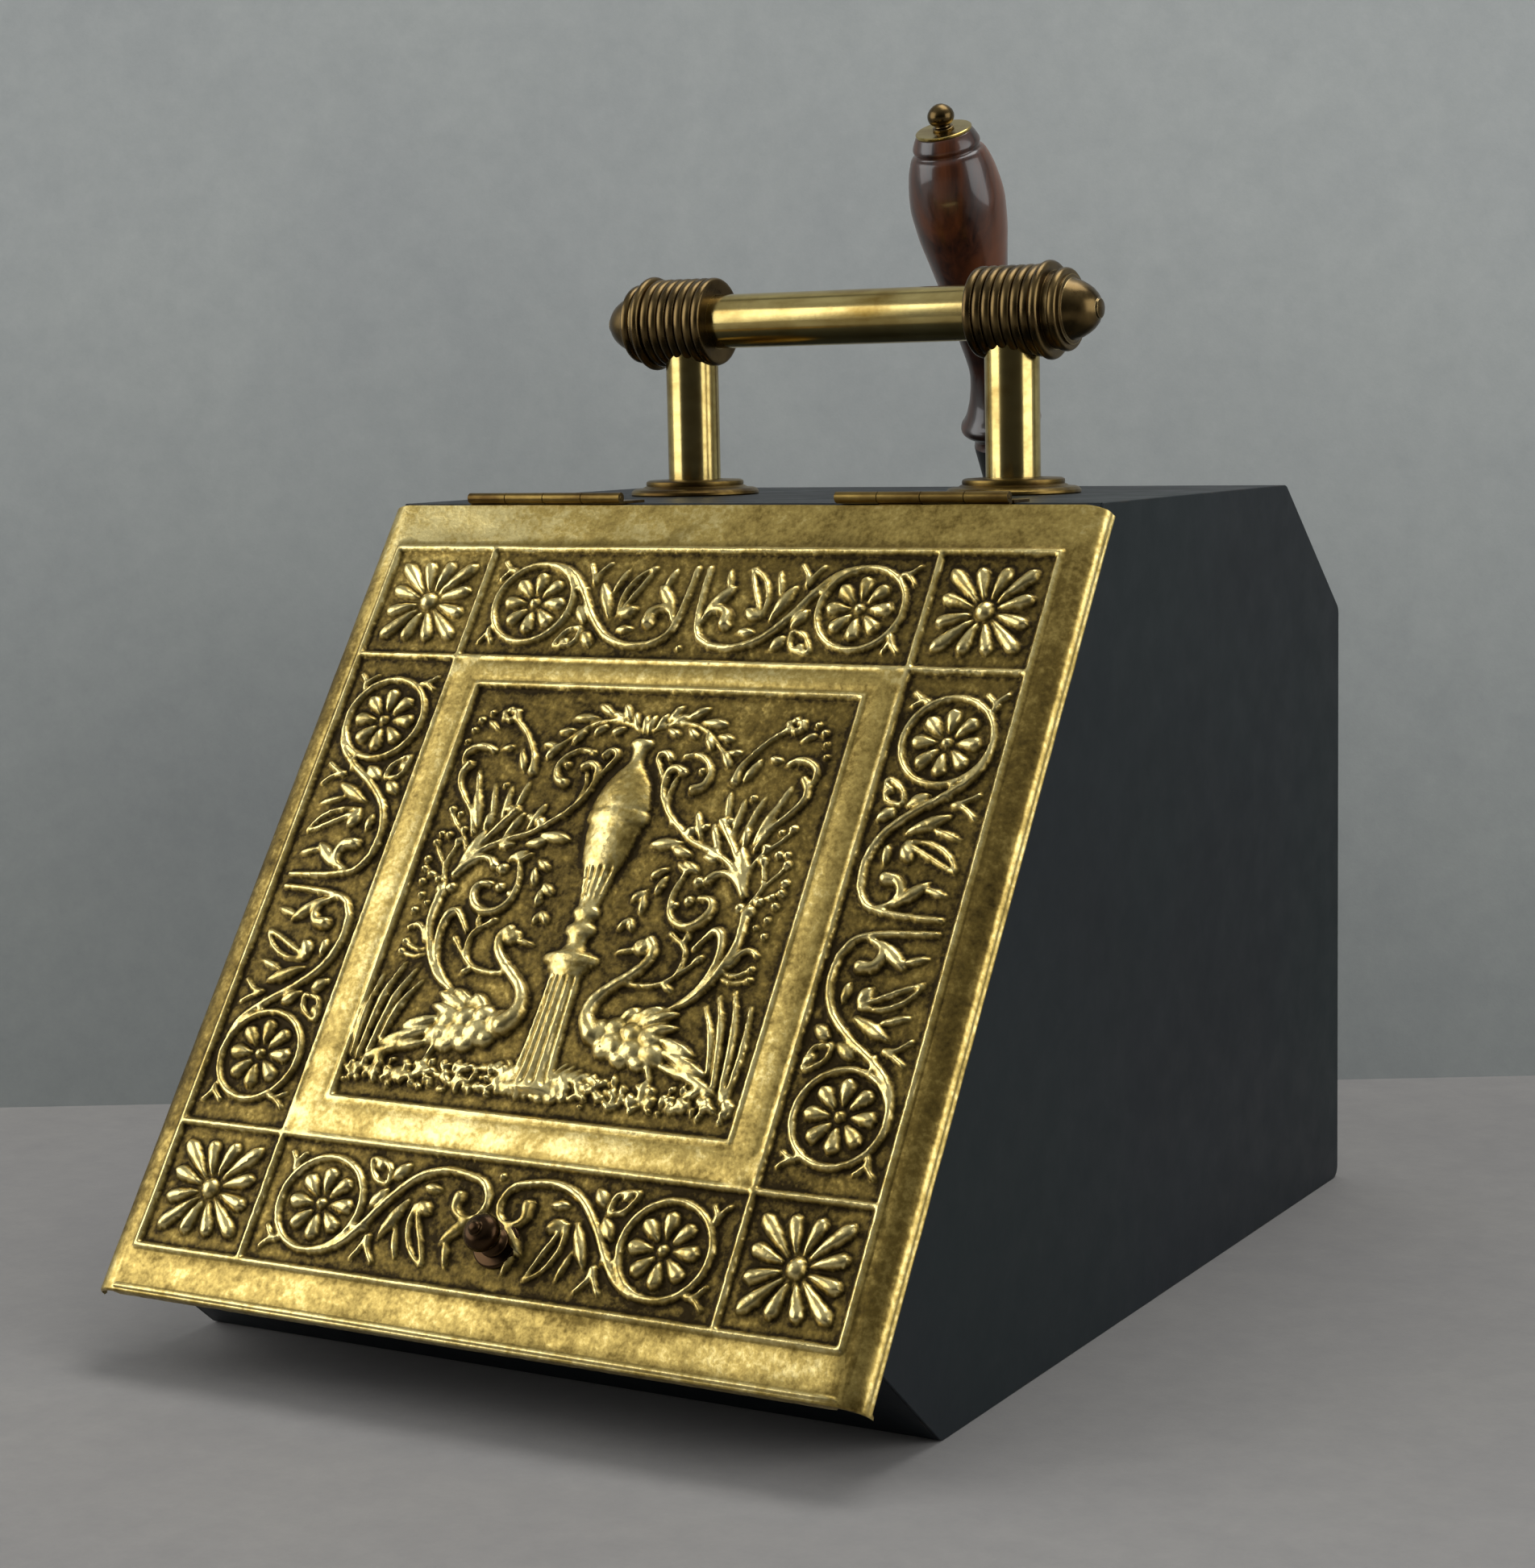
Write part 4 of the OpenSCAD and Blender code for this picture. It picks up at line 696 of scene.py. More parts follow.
gripSpec = {
    "lean": 23.4,            # degrees from upright
    "rodRadius": 2.5,
    "socketLength": 107.6,
    "length": 137,
    "tenon": (6, 9),         # length and radius inside the socket
    "turns": 128,            # faces round the grip
    "ballTurns": 64,
    # height above the socket's mouth and radius of the turned grip
    "profile": [
        (0, 13.2), (1.6, 12.7), (3.2, 12.5), (4.4, 13.4), (5.8, 15.4), (7.4, 16.9), (9, 17.2),
        (10.7, 16.7), (12.4, 15.3), (14.6, 13.9), (17.5, 12.6), (21, 11.3), (26.5, 9.9), (32.6, 9),
        (38, 9.3), (46, 10.4), (58, 12.3), (74, 14.8), (85.5, 16.9), (93, 18.3), (100, 19.1), (107, 19.6),
        (114, 19), (121.6, 17.6), (126.6, 15.9), (128.4, 14.8), (129.4, 13.6), (130.4, 13.5),
        (131.4, 13.9), (133, 13.6), (136.4, 11.9), (137, 11),
    ],
    # height above the grip and radius of the disc on it
    "disc": [(0, 0), (0, 11.5), (0.3, 11.6), (0.9, 11.6), (1.2, 11.2), (1.2, 0)],
    # height above the disc and radius of the ball
    "finial": [(0, 4.2), (0.8, 4.4), (1.3, 3.4), (1.9, 3.3), (2.6, 4.3), (3.9, 5.2), (5.4, 5.5),
               (7, 5.2), (8.5, 4.2), (9.7, 2.7), (10.3, 1.4), (10.45, 0)],
}
shovelSpec = {
    "sheets": ("shovel", "black_iron", 0.4, ("scoop", "shovel_socket")),
    "rivets": ("shovel", "black_iron", 0.15, ("socket_rivets",)),
}


def gripMouth(axis, lean):
    # from the rod's top down its line to the scoop's top edge, then up by the socket's length
    g = gripSpec
    low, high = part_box("shovel_rod")
    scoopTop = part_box("scoop")[1].z / mm
    top = Vector((0, low.y / mm, high.z / mm))
    inY, inZ = g["rodRadius"] * math.cos(lean), g["rodRadius"] * math.sin(lean)
    foot = Vector((0, top.y + inY + (top.z - inZ - scoopTop) * math.tan(lean), scoopTop))
    return foot + Vector(axis) * g["socketLength"]


def makeShovel():
    g = gripSpec
    lean = math.radians(g["lean"])
    axis = (0, -math.sin(lean), math.cos(lean))
    mouth = gripMouth(axis, lean)
    length = g["length"]
    tenonLength, tenonRadius = g["tenon"]
    line = [(max(0, min(s, length)), r) for s, r in smoothLine(g["profile"], 4)]
    line = [(-tenonLength, 0), (-tenonLength, tenonRadius), (0, tenonRadius)] + line + [(length, 0)]
    grip = lathe(line, mouth, axis, g["turns"])
    addPiece("gripTurned", grip, "shovel", "mahogany", ("shovel_grip",), sharp=40)
    disc = [(length + s, r) for s, r in g["disc"]]
    addPiece("topDisc", lathe(disc, mouth, axis), "shovel", "polished_brass", ("grip_washer",))
    top = disc[-1][0]
    ball = [(top, 0)] + [(s + top, max(r, 0)) for s, r in smoothLine(g["finial"], 4)]
    ball = lathe(ball, mouth, axis, g["ballTurns"])
    addPiece("ballFinial", ball, "shovel", "bronze", ("shovel_finial",), sharp=40)
    dressAll(shovelSpec)
    # the rod keeps its own shape
    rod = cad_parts["shovel_rod"].data
    rod.materials.clear()
    rod.materials.append(finishes["bare_iron"])


makeShovel()
say("shovel is made")


lidSpec = {
    "angle": 54.3,                           # degrees from level
    "topY": middle("hinge_pin_left").y - 0.5,     # the lid's upper line, in y and z
    "topZ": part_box("side_left")[1].z / mm,
    "edge": 0.5,                             # the skin starts this far below that line
    "length": 321.0,
    "halfWidth": 149.94,
    "flat": 140.0,                           # the skin is flat out to here
    "step": 0.5,                             # spacing of the pressed surface's points
    "triangles": 196000,
    "bead": 1.3,                             # radius of the beads between the cells
    "rim": (319.2, 0.85),                    # a thin bead along the foot
    "ground": -0.45,                         # level of the matted ground
    "margins": {"x": 137.6, "top": 19.9, "foot": 303.8},     # line round all the cells
    "columns": 93.0,                         # lines between the side cells and the middle
    "rows": (67.1, 257.3),                   # lines under the top cells and over the foot's
    "panel": {"x": 79.6, "top": 78.1, "foot": 242.7},        # line round the centre panel
    "bandHeight": 1.2,                       # of the smooth bands round the panel
}
lidLean = math.radians(lidSpec["angle"])


def lidPlace(x, v, n):
    # lid measures (across, down the slope, out of it) as places in the frame, in metres
    y = lidSpec["topY"] - v * math.cos(lidLean) - n * math.sin(lidLean)
    z = lidSpec["topZ"] - v * math.sin(lidLean) + n * math.cos(lidLean)
    return np.stack([np.broadcast_to(x, np.shape(y)), y, z], -1) * mm


# the pressed surface: heights in mm over a grid of across and down
columnCount = round(2 * lidSpec["flat"] / lidSpec["step"]) + 1
rowCount = int((lidSpec["length"] - lidSpec["edge"]) / lidSpec["step"]) + 1
gridX = np.linspace(-lidSpec["flat"], lidSpec["flat"], columnCount)
gridV = np.linspace(lidSpec["edge"], lidSpec["length"], rowCount)
height = np.zeros((rowCount, columnCount))


def window(x0, x1, v0, v1):
    # the part of the grid round a stroke, and its points
    i0, i1 = np.searchsorted(gridX, (x0, x1))
    j0, j1 = np.searchsorted(gridV, (v0, v1))
    part = (slice(j0, j1 + 1), slice(i0, i1 + 1))
    return part, gridX[part[1]][None, :], gridV[part[0]][:, None]


def windowRound(a, b, pad):
    # the window that holds two points and pad more on every side
    (x0, x1), (v0, v1) = sorted((a[0], b[0])), sorted((a[1], b[1]))
    return window(x0 - pad, x1 + pad, v0 - pad, v1 + pad)


def raiseTo(part, inside, level):
    # lifts the surface where the stroke is inside its outline and stands higher
    height[part] = np.where(inside, np.maximum(height[part], level), height[part])


def cord(points, radii, tall=1.0, base=0.0):
    # a rounded cord through the points; its radius runs evenly through radii
    line = smoothLine(points, 6)
    radius = np.interp(np.linspace(0, 1, len(line)), np.linspace(0, 1, len(radii)), radii)
    for a, b, ra, rb in zip(line, line[1:], radius, radius[1:]):
        part, x, v = windowRound(a, b, max(ra, rb) + 0.1)
        d = b - a
        t = np.clip(((x - a[0]) * d[0] + (v - a[1]) * d[1]) / max(d @ d, 1e-9), 0, 1)
        away = np.hypot(x - a[0] - t * d[0], v - a[1] - t * d[1])
        radiusHere = ra + (rb - ra) * t
        dome = np.sqrt(np.clip(1 - (away / radiusHere) ** 2, 0, None))
        raiseTo(part, away < radiusHere, base + radiusHere * tall * dome)


def leaf(root, tip, wide, tall, fat, crease=0.0):
    # a leaf or petal from root to tip, widest at fat of its length; crease is cut down its middle
    root, tip = np.array(root, float), np.array(tip, float)
    d = tip - root
    length = np.hypot(*d)
    u = d / length
    part, x, v = windowRound(root, tip, wide + 0.3)
    s = ((x - root[0]) * u[0] + (v - root[1]) * u[1]) / length
    t = -(x - root[0]) * u[1] + (v - root[1]) * u[0]
    inside = (s > 0) & (s < 1)
    s = np.clip(s, 0.0, 1.0)
    grow = np.sin(np.pi / 2 * np.clip(s / fat, 0, 1)) ** 0.9
    fade = np.cos(np.pi / 2 * np.clip((s - fat) / (1 - fat), 0, 1)) ** 0.75
    half = np.maximum(wide * np.where(s < fat, grow, fade), 1e-3)
    dome = np.clip(1 - (t / half) ** 2, 0, None) ** 0.7 * np.sqrt(half / wide)
    level = tall * dome - crease * np.exp(-(t / (0.22 * wide)) ** 2)
    raiseTo(part, inside & (np.abs(t) < half), level)


def boss(at, radius, tall, stretch=1.0, turn=0.0):
    # a dome, drawn out by stretch along the direction turn
    part, x, v = windowRound(at, at, radius * max(1, stretch) + 0.3)
    c, s = math.cos(math.radians(turn)), math.sin(math.radians(turn))
    along = ((x - at[0]) * c + (v - at[1]) * s) / (radius * stretch)
    across = (-(x - at[0]) * s + (v - at[1]) * c) / radius
    far = along ** 2 + across ** 2
    raiseTo(part, far < 1, tall * np.clip(1 - far, 0, None) ** 0.75)


def hoop(at, radius, thick, tall):
    turn = np.linspace(0, math.tau, 33)
    cord([(at[0] + radius * math.cos(g), at[1] + radius * math.sin(g)) for g in turn], [thick, thick], tall)


def pressGround():
    # the ornamented cells lie a little below the plain brass
    m, p = lidSpec["margins"], lidSpec["panel"]
    columns, (upper, lower) = lidSpec["columns"], lidSpec["rows"]
    x, v = np.abs(gridX)[None, :], gridV[:, None]
    framed = (x < m["x"]) & (v > m["top"]) & (v < m["foot"])
    inner = (x < columns) & (v > upper) & (v < lower)
    centre = (x < p["x"]) & (v > p["top"]) & (v < p["foot"])
    ornament = (framed & ~inner) | centre
    height[ornament] = lidSpec["ground"]
    # smooth bands round the centre panel, each a low arch across its width
    acrossAll, downAll = x + 0 * v, v + 0 * x
    bands = ((p["x"], columns, acrossAll), (upper, p["top"], downAll), (p["foot"], lower, downAll))
    for low, high, value in bands:
        t = np.clip((value - low) / (high - low), 0, 1)
        arch = lidSpec["bandHeight"] * np.sin(np.pi * t) ** 0.45
        band = inner & ~centre & (value > low) & (value < high)
        height[band] = np.maximum(height[band], arch[band])
    return ornament


def pressLines():
    # beads along the edges of the cells and of the panel, and the rim's
    m, p = lidSpec["margins"], lidSpec["panel"]
    bead = [lidSpec["bead"]] * 2
    cells = (m, (m["x"], lidSpec["columns"]), (m["top"], m["foot"], *lidSpec["rows"]))
    centre = (p, (p["x"],), (p["top"], p["foot"]))
    for frameLine, downs, acrosses in (cells, centre):
        for x in downs:
            for side in (-x, x):
                cord([(side, frameLine["top"]), (side, frameLine["foot"])], bead)
        for v in acrosses:
            cord([(-frameLine["x"], v), (frameLine["x"], v)], bead)
    at, thick = lidSpec["rim"]
    cord([(-lidSpec["flat"], at), (lidSpec["flat"], at)], [thick, thick])


# border ornament, half a side: u runs from the side's middle to its corner, w points
# towards the centre panel
borderSpec = {
    "ring": ((68, 0), 16.6, 1.3),
    "tall": 1.15,
    "stem": ([(70, -17), (61, -16), (54, -12.5), (47.5, -5), (40.5, 5), (32, 13.4), (22, 17),
              (12.5, 16.4)], [1.0, 1.3, 1.5, 1.6, 1.6, 1.5]),
    # the stem's end runs straight out at the middle, or curls in
    "ends": {
        "straight": [([(12.5, 16.4), (6.4, 12.4), (4, 5), (3, -5), (2.5, -16)], [1.5, 1.3, 1.1]),
                     ([(5.4, 8), (8, 2.6), (12, 1.2), (15.6, 3.4), (16, 7.6)], [0.9, 1.5, 2.0, 2.6])],
        "curled": [([(12.5, 16.4), (6, 14.4), (2.6, 8.6), (4.4, 3), (9.4, 1.4), (13.6, 4), (13.4, 8.6)],
                    [1.5, 1.4, 1.3, 1.5, 2.4])],
    },
    "cords": [
        ([(20, -16), (23, -9), (27, -1), (29, 4)], [0.7, 1.1, 1.0]),
        ([(21, -16), (26.5, -11.5), (30, -4), (30, 4)], [0.7, 1.0, 0.9]),
        ([(43.5, 10), (45, 16), (52, 18), (52.5, 16), (49, 11), (44.5, 9.6)], [0.9, 0.9]),
        ([(44, -9), (43.5, -13), (40, -17.5)], [1.1, 0.8]),
        ([(44.5, -9), (46, -13), (48.5, -17)], [1.1, 0.8]),
        ([(83, 11), (82.6, 14), (81, 16.8)], [1.1, 0.8]),
        ([(83, 11), (84, 14), (86.4, 17)], [1.1, 0.8]),
        ([(80.5, -14), (83.4, -13.2), (86, -10)], [1.1, 0.8]),
        ([(80.5, -14), (84, -15), (86.5, -17.5)], [1.1, 0.8]),
        ([(46.5, -6.5), (51.5, -6.4)], [1.0, 1.2]),
    ],
    # root, tip, half-width and height
    "leaves": [
        ((5.5, 3.5), (16, -8.5), 2.6, 1.9), ((29, 5.5), (22.5, 1), 2.7, 2.0),
        ((33, 6), (40.5, -9.5), 2.6, 2.0), ((21, 10), (29, 10.6), 1.9, 1.4),
        ((37, 18), (42, 11.5), 2.7, 1.8), ((42.4, 8.6), (48, 0.5), 2.6, 1.8),
        ((47, 14.6), (51, 17), 1.5, 1.1), ((14, -5), (11, -16), 1.5, 1.2),
        ((35.5, -3), (31.5, -15.5), 1.4, 1.1),
    ],
    "daisy": {"inset": 0.6, "petals": 8, "from": 3.2, "to": 13.2, "shape": (2.9, 1.9, 0.76),
              "heart": (2.2, 1.8)},
}
# the lines that the borders run along, and the middle of the side ones
borderCells = {"top": 43.5, "foot": 280.55, "side": 115.3, "sideMiddle": 162.2}
# a corner rosette's petals in one quarter: root, tip and half-width
rosetteSpec = {
    "petals": [((3, 3), (16.4, 16.4), 2.9), ((1.2, 4), (5.3, 17.4), 2.7), ((4, 1.2), (17.4, 5.3), 2.7)],
    "shape": (2.0, 0.8),
    "heart": (3.6, 2.5, 1.1, 90),
}
# the small button over the middle of the top and foot borders
buttonSpec = {"from": 17.5, "radius": 1.4, "tall": 1.3}


def borderHalf(place, ending):
    b = borderSpec
    (cu, cw), radius, thick = b["ring"]
    hoop(place(cu, cw), radius, thick, b["tall"])
    for points, radii in [b["stem"]] + b["ends"][ending] + b["cords"]:
        cord([place(*p) for p in points], radii, b["tall"])
    for root, tip, wide, tall in b["leaves"]:
        leaf(place(*root), place(*tip), wide, tall, 0.55)
    daisy = b["daisy"]
    x, v = place(cu - daisy["inset"], cw)
    for k in range(daisy["petals"]):
        g = math.radians(360 / daisy["petals"] * k)
        c, s = math.cos(g), math.sin(g)
        root, tip = daisy["from"], daisy["to"]
        leaf((x + root * c, v + root * s), (x + tip * c, v + tip * s), *daisy["shape"])
    boss((x, v), *daisy["heart"])


def rosette(at):
    boss(at, *rosetteSpec["heart"])
    for sx in (-1, 1):
        for sv in (-1, 1):
            for root, tip, wide in rosetteSpec["petals"]:
                ends = [(at[0] + sx * x, at[1] + sv * v) for x, v in (root, tip)]
                leaf(*ends, wide, *rosetteSpec["shape"])


def pressBorders():
    cells = borderCells
    for side in (-1, 1):
        borderHalf(lambda u, w: (side * u, cells["foot"] - w), "curled")
        borderHalf(lambda u, w: (side * u, cells["top"] + w), "straight")
        for end in (-1, 1):
            borderHalf(lambda u, w: (side * (cells["side"] - w), cells["sideMiddle"] + end * u), "straight")
        for v in (cells["top"], cells["foot"]):
            rosette((side * cells["side"], v))
    for v, way in ((cells["top"], 1), (cells["foot"], -1)):
        boss((0, v + way * buttonSpec["from"]), buttonSpec["radius"], buttonSpec["tall"])


panelSpec = {
    "axis": -1.6,
    "drop": 0.5,             # the mirrored halves lie this much lower than their list says
    # place down the lid and half-width of the urn and its foot, then of the column
    "urn": [
        (98.5, 3.8), (99.8, 4.6), (101, 4.6), (101.8, 3.4), (104, 2.6), (107, 2.6), (109, 3.6),
        (112, 6.4), (116, 9), (121, 10.9), (125.5, 11.8), (127, 11.4), (127.6, 12.4), (131.6, 12.4),
        (132.4, 10.8), (138, 10.4), (144, 9.2), (147.5, 8.2), (148, 7.8), (155, 5.9), (163, 4.2),
        (164.4, 3.9), (165.2, 5.4), (167.4, 5.4), (168.2, 4), (170.5, 3.8), (171.8, 6), (174.4, 6),
        (175.4, 4.2), (178.5, 3.9), (180.5, 5), (182, 8.5), (182.8, 11), (185.8, 11), (186.6, 8.2),
        (188.4, 8.2), (189, 6.6),
    ],
    "column": [(189, 6.6), (200, 6.9), (216, 7.6), (226, 8.6), (233, 11)],
    "roundness": 0.29,
    "turnedLevel": 0.4,
    "turnedReach": 13,
    # flutes: how many, how deep, over what length they start and end, and where down the lid
    "flutes": 5,
    "fluteDepth": 1.5,
    "fluteEnd": 1.5,
    "urnFlutes": (148.5, 163.5),
    "columnFlutes": (190, 231),
    "cordTall": 1.25,
    "leafWiden": 1.12,
    # the right half of the panel: cords with their radii, leaves, berries
    "cords": [
        # stems from the trunk's head and their curls
        ([(58.5, 155), (54.5, 148.5), (49, 143.5), (41, 139.5), (33, 136.5), (26.5, 132), (20, 126.5),
          (16, 121), (14.2, 116), (14.5, 112.5)], [1.6, 1.3, 1.1, 1.1, 1.2, 1.2]),
        ([(57, 151), (51, 140.5), (45.5, 133), (42, 128.5)], [1.1, 1.3, 1.8]),
        ([(57.5, 138), (61, 130), (66, 124.5), (70, 119), (70.5, 114.5), (68.5, 111)],
          [1.0, 1.1, 1.3, 1.8]),
        ([(71.5, 112), (72, 107), (68.5, 104.2), (64, 103.6), (60.5, 105)], [0.8, 1.5, 1.6, 1.1]),
        ([(55.5, 92), (50, 96.4), (45.5, 102), (42.5, 107), (41.6, 111)], [0.9, 0.9, 1.2, 1.5]),
        ([(14, 113), (14.6, 110), (17.5, 108.6), (20.5, 110)], [1.1, 1.6, 1.7]),
        ([(13.5, 114.5), (11, 109.5), (8.6, 106), (8.8, 103.4), (11.4, 102.8), (13.6, 105)],
          [0.8, 1.1, 1.4]),
        ([(18.5, 103.8), (24, 103), (29, 106), (31.3, 110.5), (30, 115), (26.5, 116.8)],
          [0.8, 1.1, 1.3, 2.0]),
        ([(22, 130), (18.6, 124), (17.4, 117), (18.6, 112)], [0.8, 0.9, 0.7]),
        ([(58.5, 155.5), (54.5, 150.5), (50, 147.6), (46, 148), (43.5, 150.6)], [1.4, 1.3, 1.2, 1.8]),
        ([(33.5, 149), (31.5, 156), (32.3, 163), (36, 167.3), (41.5, 168.3), (46.3, 165.5), (48.2, 161),
          (46.5, 157.8), (42.5, 157.6)], [0.8, 1.1, 1.6, 2.0, 1.5, 1.3]),
        ([(30, 145), (34, 147.6), (37, 146)], [0.8, 1.2, 0.8]),
        # trunk, arch and side twigs
        ([(41, 199.6), (49.5, 195.5), (55, 189.5), (59, 182), (61.8, 174), (62, 167), (61.5, 162)],
          [0.8, 1.3, 1.6, 1.8, 1.8]),
        ([(44, 198.4), (51, 192), (55, 185), (56.5, 177), (55.4, 171), (52.6, 168.8), (49.4, 171.6),
          (46, 176)], [0.8, 1.2, 1.5, 1.9, 1.3, 0.9]),
        ([(61.5, 181), (64, 176.6), (67, 175), (70.4, 176.6)], [1.2, 1.2, 0.9]),
        ([(60.5, 184), (64, 184.4), (68.6, 182.4)], [0.7, 0.6]),
        ([(60, 186), (64, 187), (69, 186)], [0.7, 0.6]),
        ([(24, 190.5), (32, 190.8), (38, 189.4), (43, 185.8), (47.5, 181.4)], [0.8, 1.0, 1.0, 0.8]),
        ([(42.5, 186), (43.6, 181), (42.8, 176.6), (39.5, 173.6), (36, 171.6)], [1.0, 1.0, 0.8]),
        # twigs of the berries
        ([(61, 160), (64.4, 152), (63, 145), (62, 142)], [0.8, 0.6]),
        ([(64.4, 152), (69, 146.4), (71, 143)], [0.6, 0.5]),
        ([(57.5, 146), (60.5, 140), (66.6, 134), (69.6, 130)], [0.8, 0.6]),
        ([(63, 157), (68, 155), (72, 153)], [0.6, 0.5]),
        # the garland's stem
        ([(3, 94), (8, 91.6), (15, 90.6), (22, 92.2), (28, 96.2), (33, 101.4), (36.5, 107)], [0.7, 0.6]),
        # reeds at the outer edge
        ([(61, 192), (65.5, 204), (69, 224)], [0.6, 1.6, 1.1]),
        ([(66.5, 190), (70.5, 204), (72.5, 226)], [0.6, 1.6, 1.1]),
        ([(57, 196), (62.5, 206.5), (65.5, 219)], [0.6, 1.5, 1.0]),
        ([(74, 195), (75.6, 210), (75, 226)], [0.6, 1.3, 1.0]),
        # the swan's leg and foot
        ([(42, 218), (44.4, 223.6), (45, 229.4)], [1.2, 0.9, 0.8]),
        ([(41, 231.6), (45, 229.4), (49.4, 231)], [0.6, 0.8, 0.6]),
    ],
    # root, tip, half-width and height
    "leaves": [
        # garland over the urn
        ((0.8, 96), (1.6, 87.6), 1.3, 1.4), ((3.4, 94.4), (7, 86.8), 1.3, 1.4),
        ((7.4, 91), (12, 83.6), 1.5, 1.5), ((14.4, 89.4), (23, 84.2), 1.7, 1.6),
        ((20.4, 90), (32, 90.6), 1.8, 1.6), ((9, 90.4), (15.6, 87.4), 1.2, 1.2),
        ((8, 93.2), (14.4, 96), 1.5, 1.5), ((16.4, 92), (21.2, 97), 1.5, 1.5),
        ((24.4, 94.6), (29, 101), 1.6, 1.6), ((28.6, 95), (36.4, 96.6), 1.4, 1.4),
        ((32.4, 100), (38, 107.4), 1.6, 1.6), ((34, 101.6), (41, 101.4), 1.2, 1.2),
        # long leaves of the fan
        ((55.8, 137), (62, 119.6), 2.0, 1.7), ((59, 154.6), (52, 136.6), 2.1, 1.9),
        ((44.6, 141.4), (38.4, 128.6), 1.5, 1.4), ((36, 136.6), (30.6, 124.4), 1.4, 1.3),
        ((53, 137.4), (52.4, 129.4), 1.7, 1.6), ((47, 137), (47.8, 118), 1.3, 1.0),
        ((43.4, 130), (41, 116), 1.2, 1.0), ((50, 138), (55.4, 117), 1.2, 1.0),
        ((58.4, 131), (64.4, 112), 1.2, 1.0), ((30, 137), (16, 138.6), 2.2, 1.8),
        ((34.6, 141.6), (25.4, 139.6), 2.0, 1.7), ((38, 141), (44.6, 143.4), 1.3, 1.2),
        ((31, 143.4), (39, 148), 1.5, 1.4), ((61.6, 96.6), (67.6, 92.6), 1.2, 1.1),
        ((58, 104), (52, 103), 1.3, 1.3), ((49.4, 103), (44.8, 113), 1.6, 1.4),
        # hanging sprays inside the curls
        ((27, 146.6), (20.4, 151), 1.7, 1.6), ((27, 149.4), (24.6, 157.4), 1.6, 1.6),
        ((21.4, 155.4), (15.8, 160.4), 1.7, 1.6), ((20.8, 157), (21.2, 165), 1.5, 1.5),
        ((17.8, 166), (14.2, 171.4), 1.4, 1.4), ((18, 166), (20, 171.6), 1.4, 1.4),
        ((46.6, 181.8), (50.8, 178), 1.3, 1.3), ((41.4, 175.4), (42.8, 169.8), 1.3, 1.3),
        ((39, 173.4), (34.4, 170.2), 1.2, 1.2), ((37.6, 189.6), (43, 192), 1.2, 1.2),
    ],
    # place and radius
    "berries": [
        (69.5, 129.5, 1.7), (65.5, 131, 1.2), (61.5, 137, 1.6), (62, 142, 1.9), (67, 139.5, 1.7),
        (70.4, 139.2, 1.4), (71.3, 142.8, 1.7), (72.5, 149.6, 1.7), (72.3, 153.4, 1.6), (69, 155.4, 1.6),
        (71.5, 158.4, 1.7), (65, 157.2, 1.7), (58.4, 159.8, 2.0), (62.4, 161, 2.5), (70, 163.6, 1.5),
        (66.6, 166.6, 1.2), (70.6, 169.6, 1.5), (69.6, 181.8, 1.4), (70, 185.6, 1.5), (39.7, 151.4, 2.3),
        (38.4, 158.6, 2.1), (44.8, 128, 1.7), (36, 130.4, 1.4), (30.8, 132.4, 2.0), (27.6, 109.4, 1.7),
        (50.6, 118.6, 1.3), (41.6, 112.4, 2.1), (70.6, 92.6, 1.6), (72.2, 97, 1.4), (67, 89.6, 1.3),
        (73.6, 101.6, 1.2), (33.6, 160.6, 1.3),
    ],
    # place, then the petals' number, ring, radius and height
    "blossom": ((58.7, 90.2), 6, (2.9, 2.1), 1.7, 1.5),
    # place, radius, height, stretch and turn of the head, and of the clumps of body feathers
    "swanHead": ((26.3, 177), 3.3, 2.4, 1.15, 20),
    "swanBody": [
        ((20.4, 209.4), 5.2, 3.0, 1.1, 60), ((27.4, 212.8), 5.4, 3.3, 1.15, 30),
        ((35, 214.2), 5.2, 3.1, 1.2, 10), ((42.4, 215), 4.4, 2.8, 1.4, 20),
        ((26.5, 207), 4.4, 3.2, 1.1, 0), ((33.5, 208.6), 4.4, 3.4, 1.2, 20),
        ((40.4, 210), 4.0, 3.1, 1.3, 20), ((23.4, 214.8), 3.6, 2.6, 1.1, 40),
        ((31, 217.6), 3.4, 2.4, 1.3, 10), ((38.6, 218.6), 3.0, 2.2, 1.4, 10),
    ],
    "swanBeak": ((24.3, 178), (15.8, 179.4), 1.1, 1.5, 0.3),
    "swanEye": ((25.9, 176.6), 1.3, 0.5),
    "swanNeck": ([(28.4, 174), (31, 177.4), (30.2, 182), (26, 187), (20.5, 191.5), (16, 195.8),
                  (13.8, 200.5), (14.4, 205.6), (18, 210)], [1.7, 1.8, 2.0, 2.2, 2.8, 4.0]),
    "swanFeathers": [((31, 207), (48.6, 199.4), 2.5, 3.2), ((29, 205.4), (42.4, 197.8), 2.3, 2.8),
                     ((33, 209), (49.6, 204.6), 2.4, 3.2), ((26, 205), (33.6, 199), 2.4, 2.8),
                     ((42, 208.4), (59, 214.4), 2.5, 3.0), ((43, 212), (66, 221), 2.4, 2.8),
                     ((48, 217), (71.4, 227), 2.0, 2.4), ((44, 217.6), (61, 222.6), 1.9, 2.0)],
}
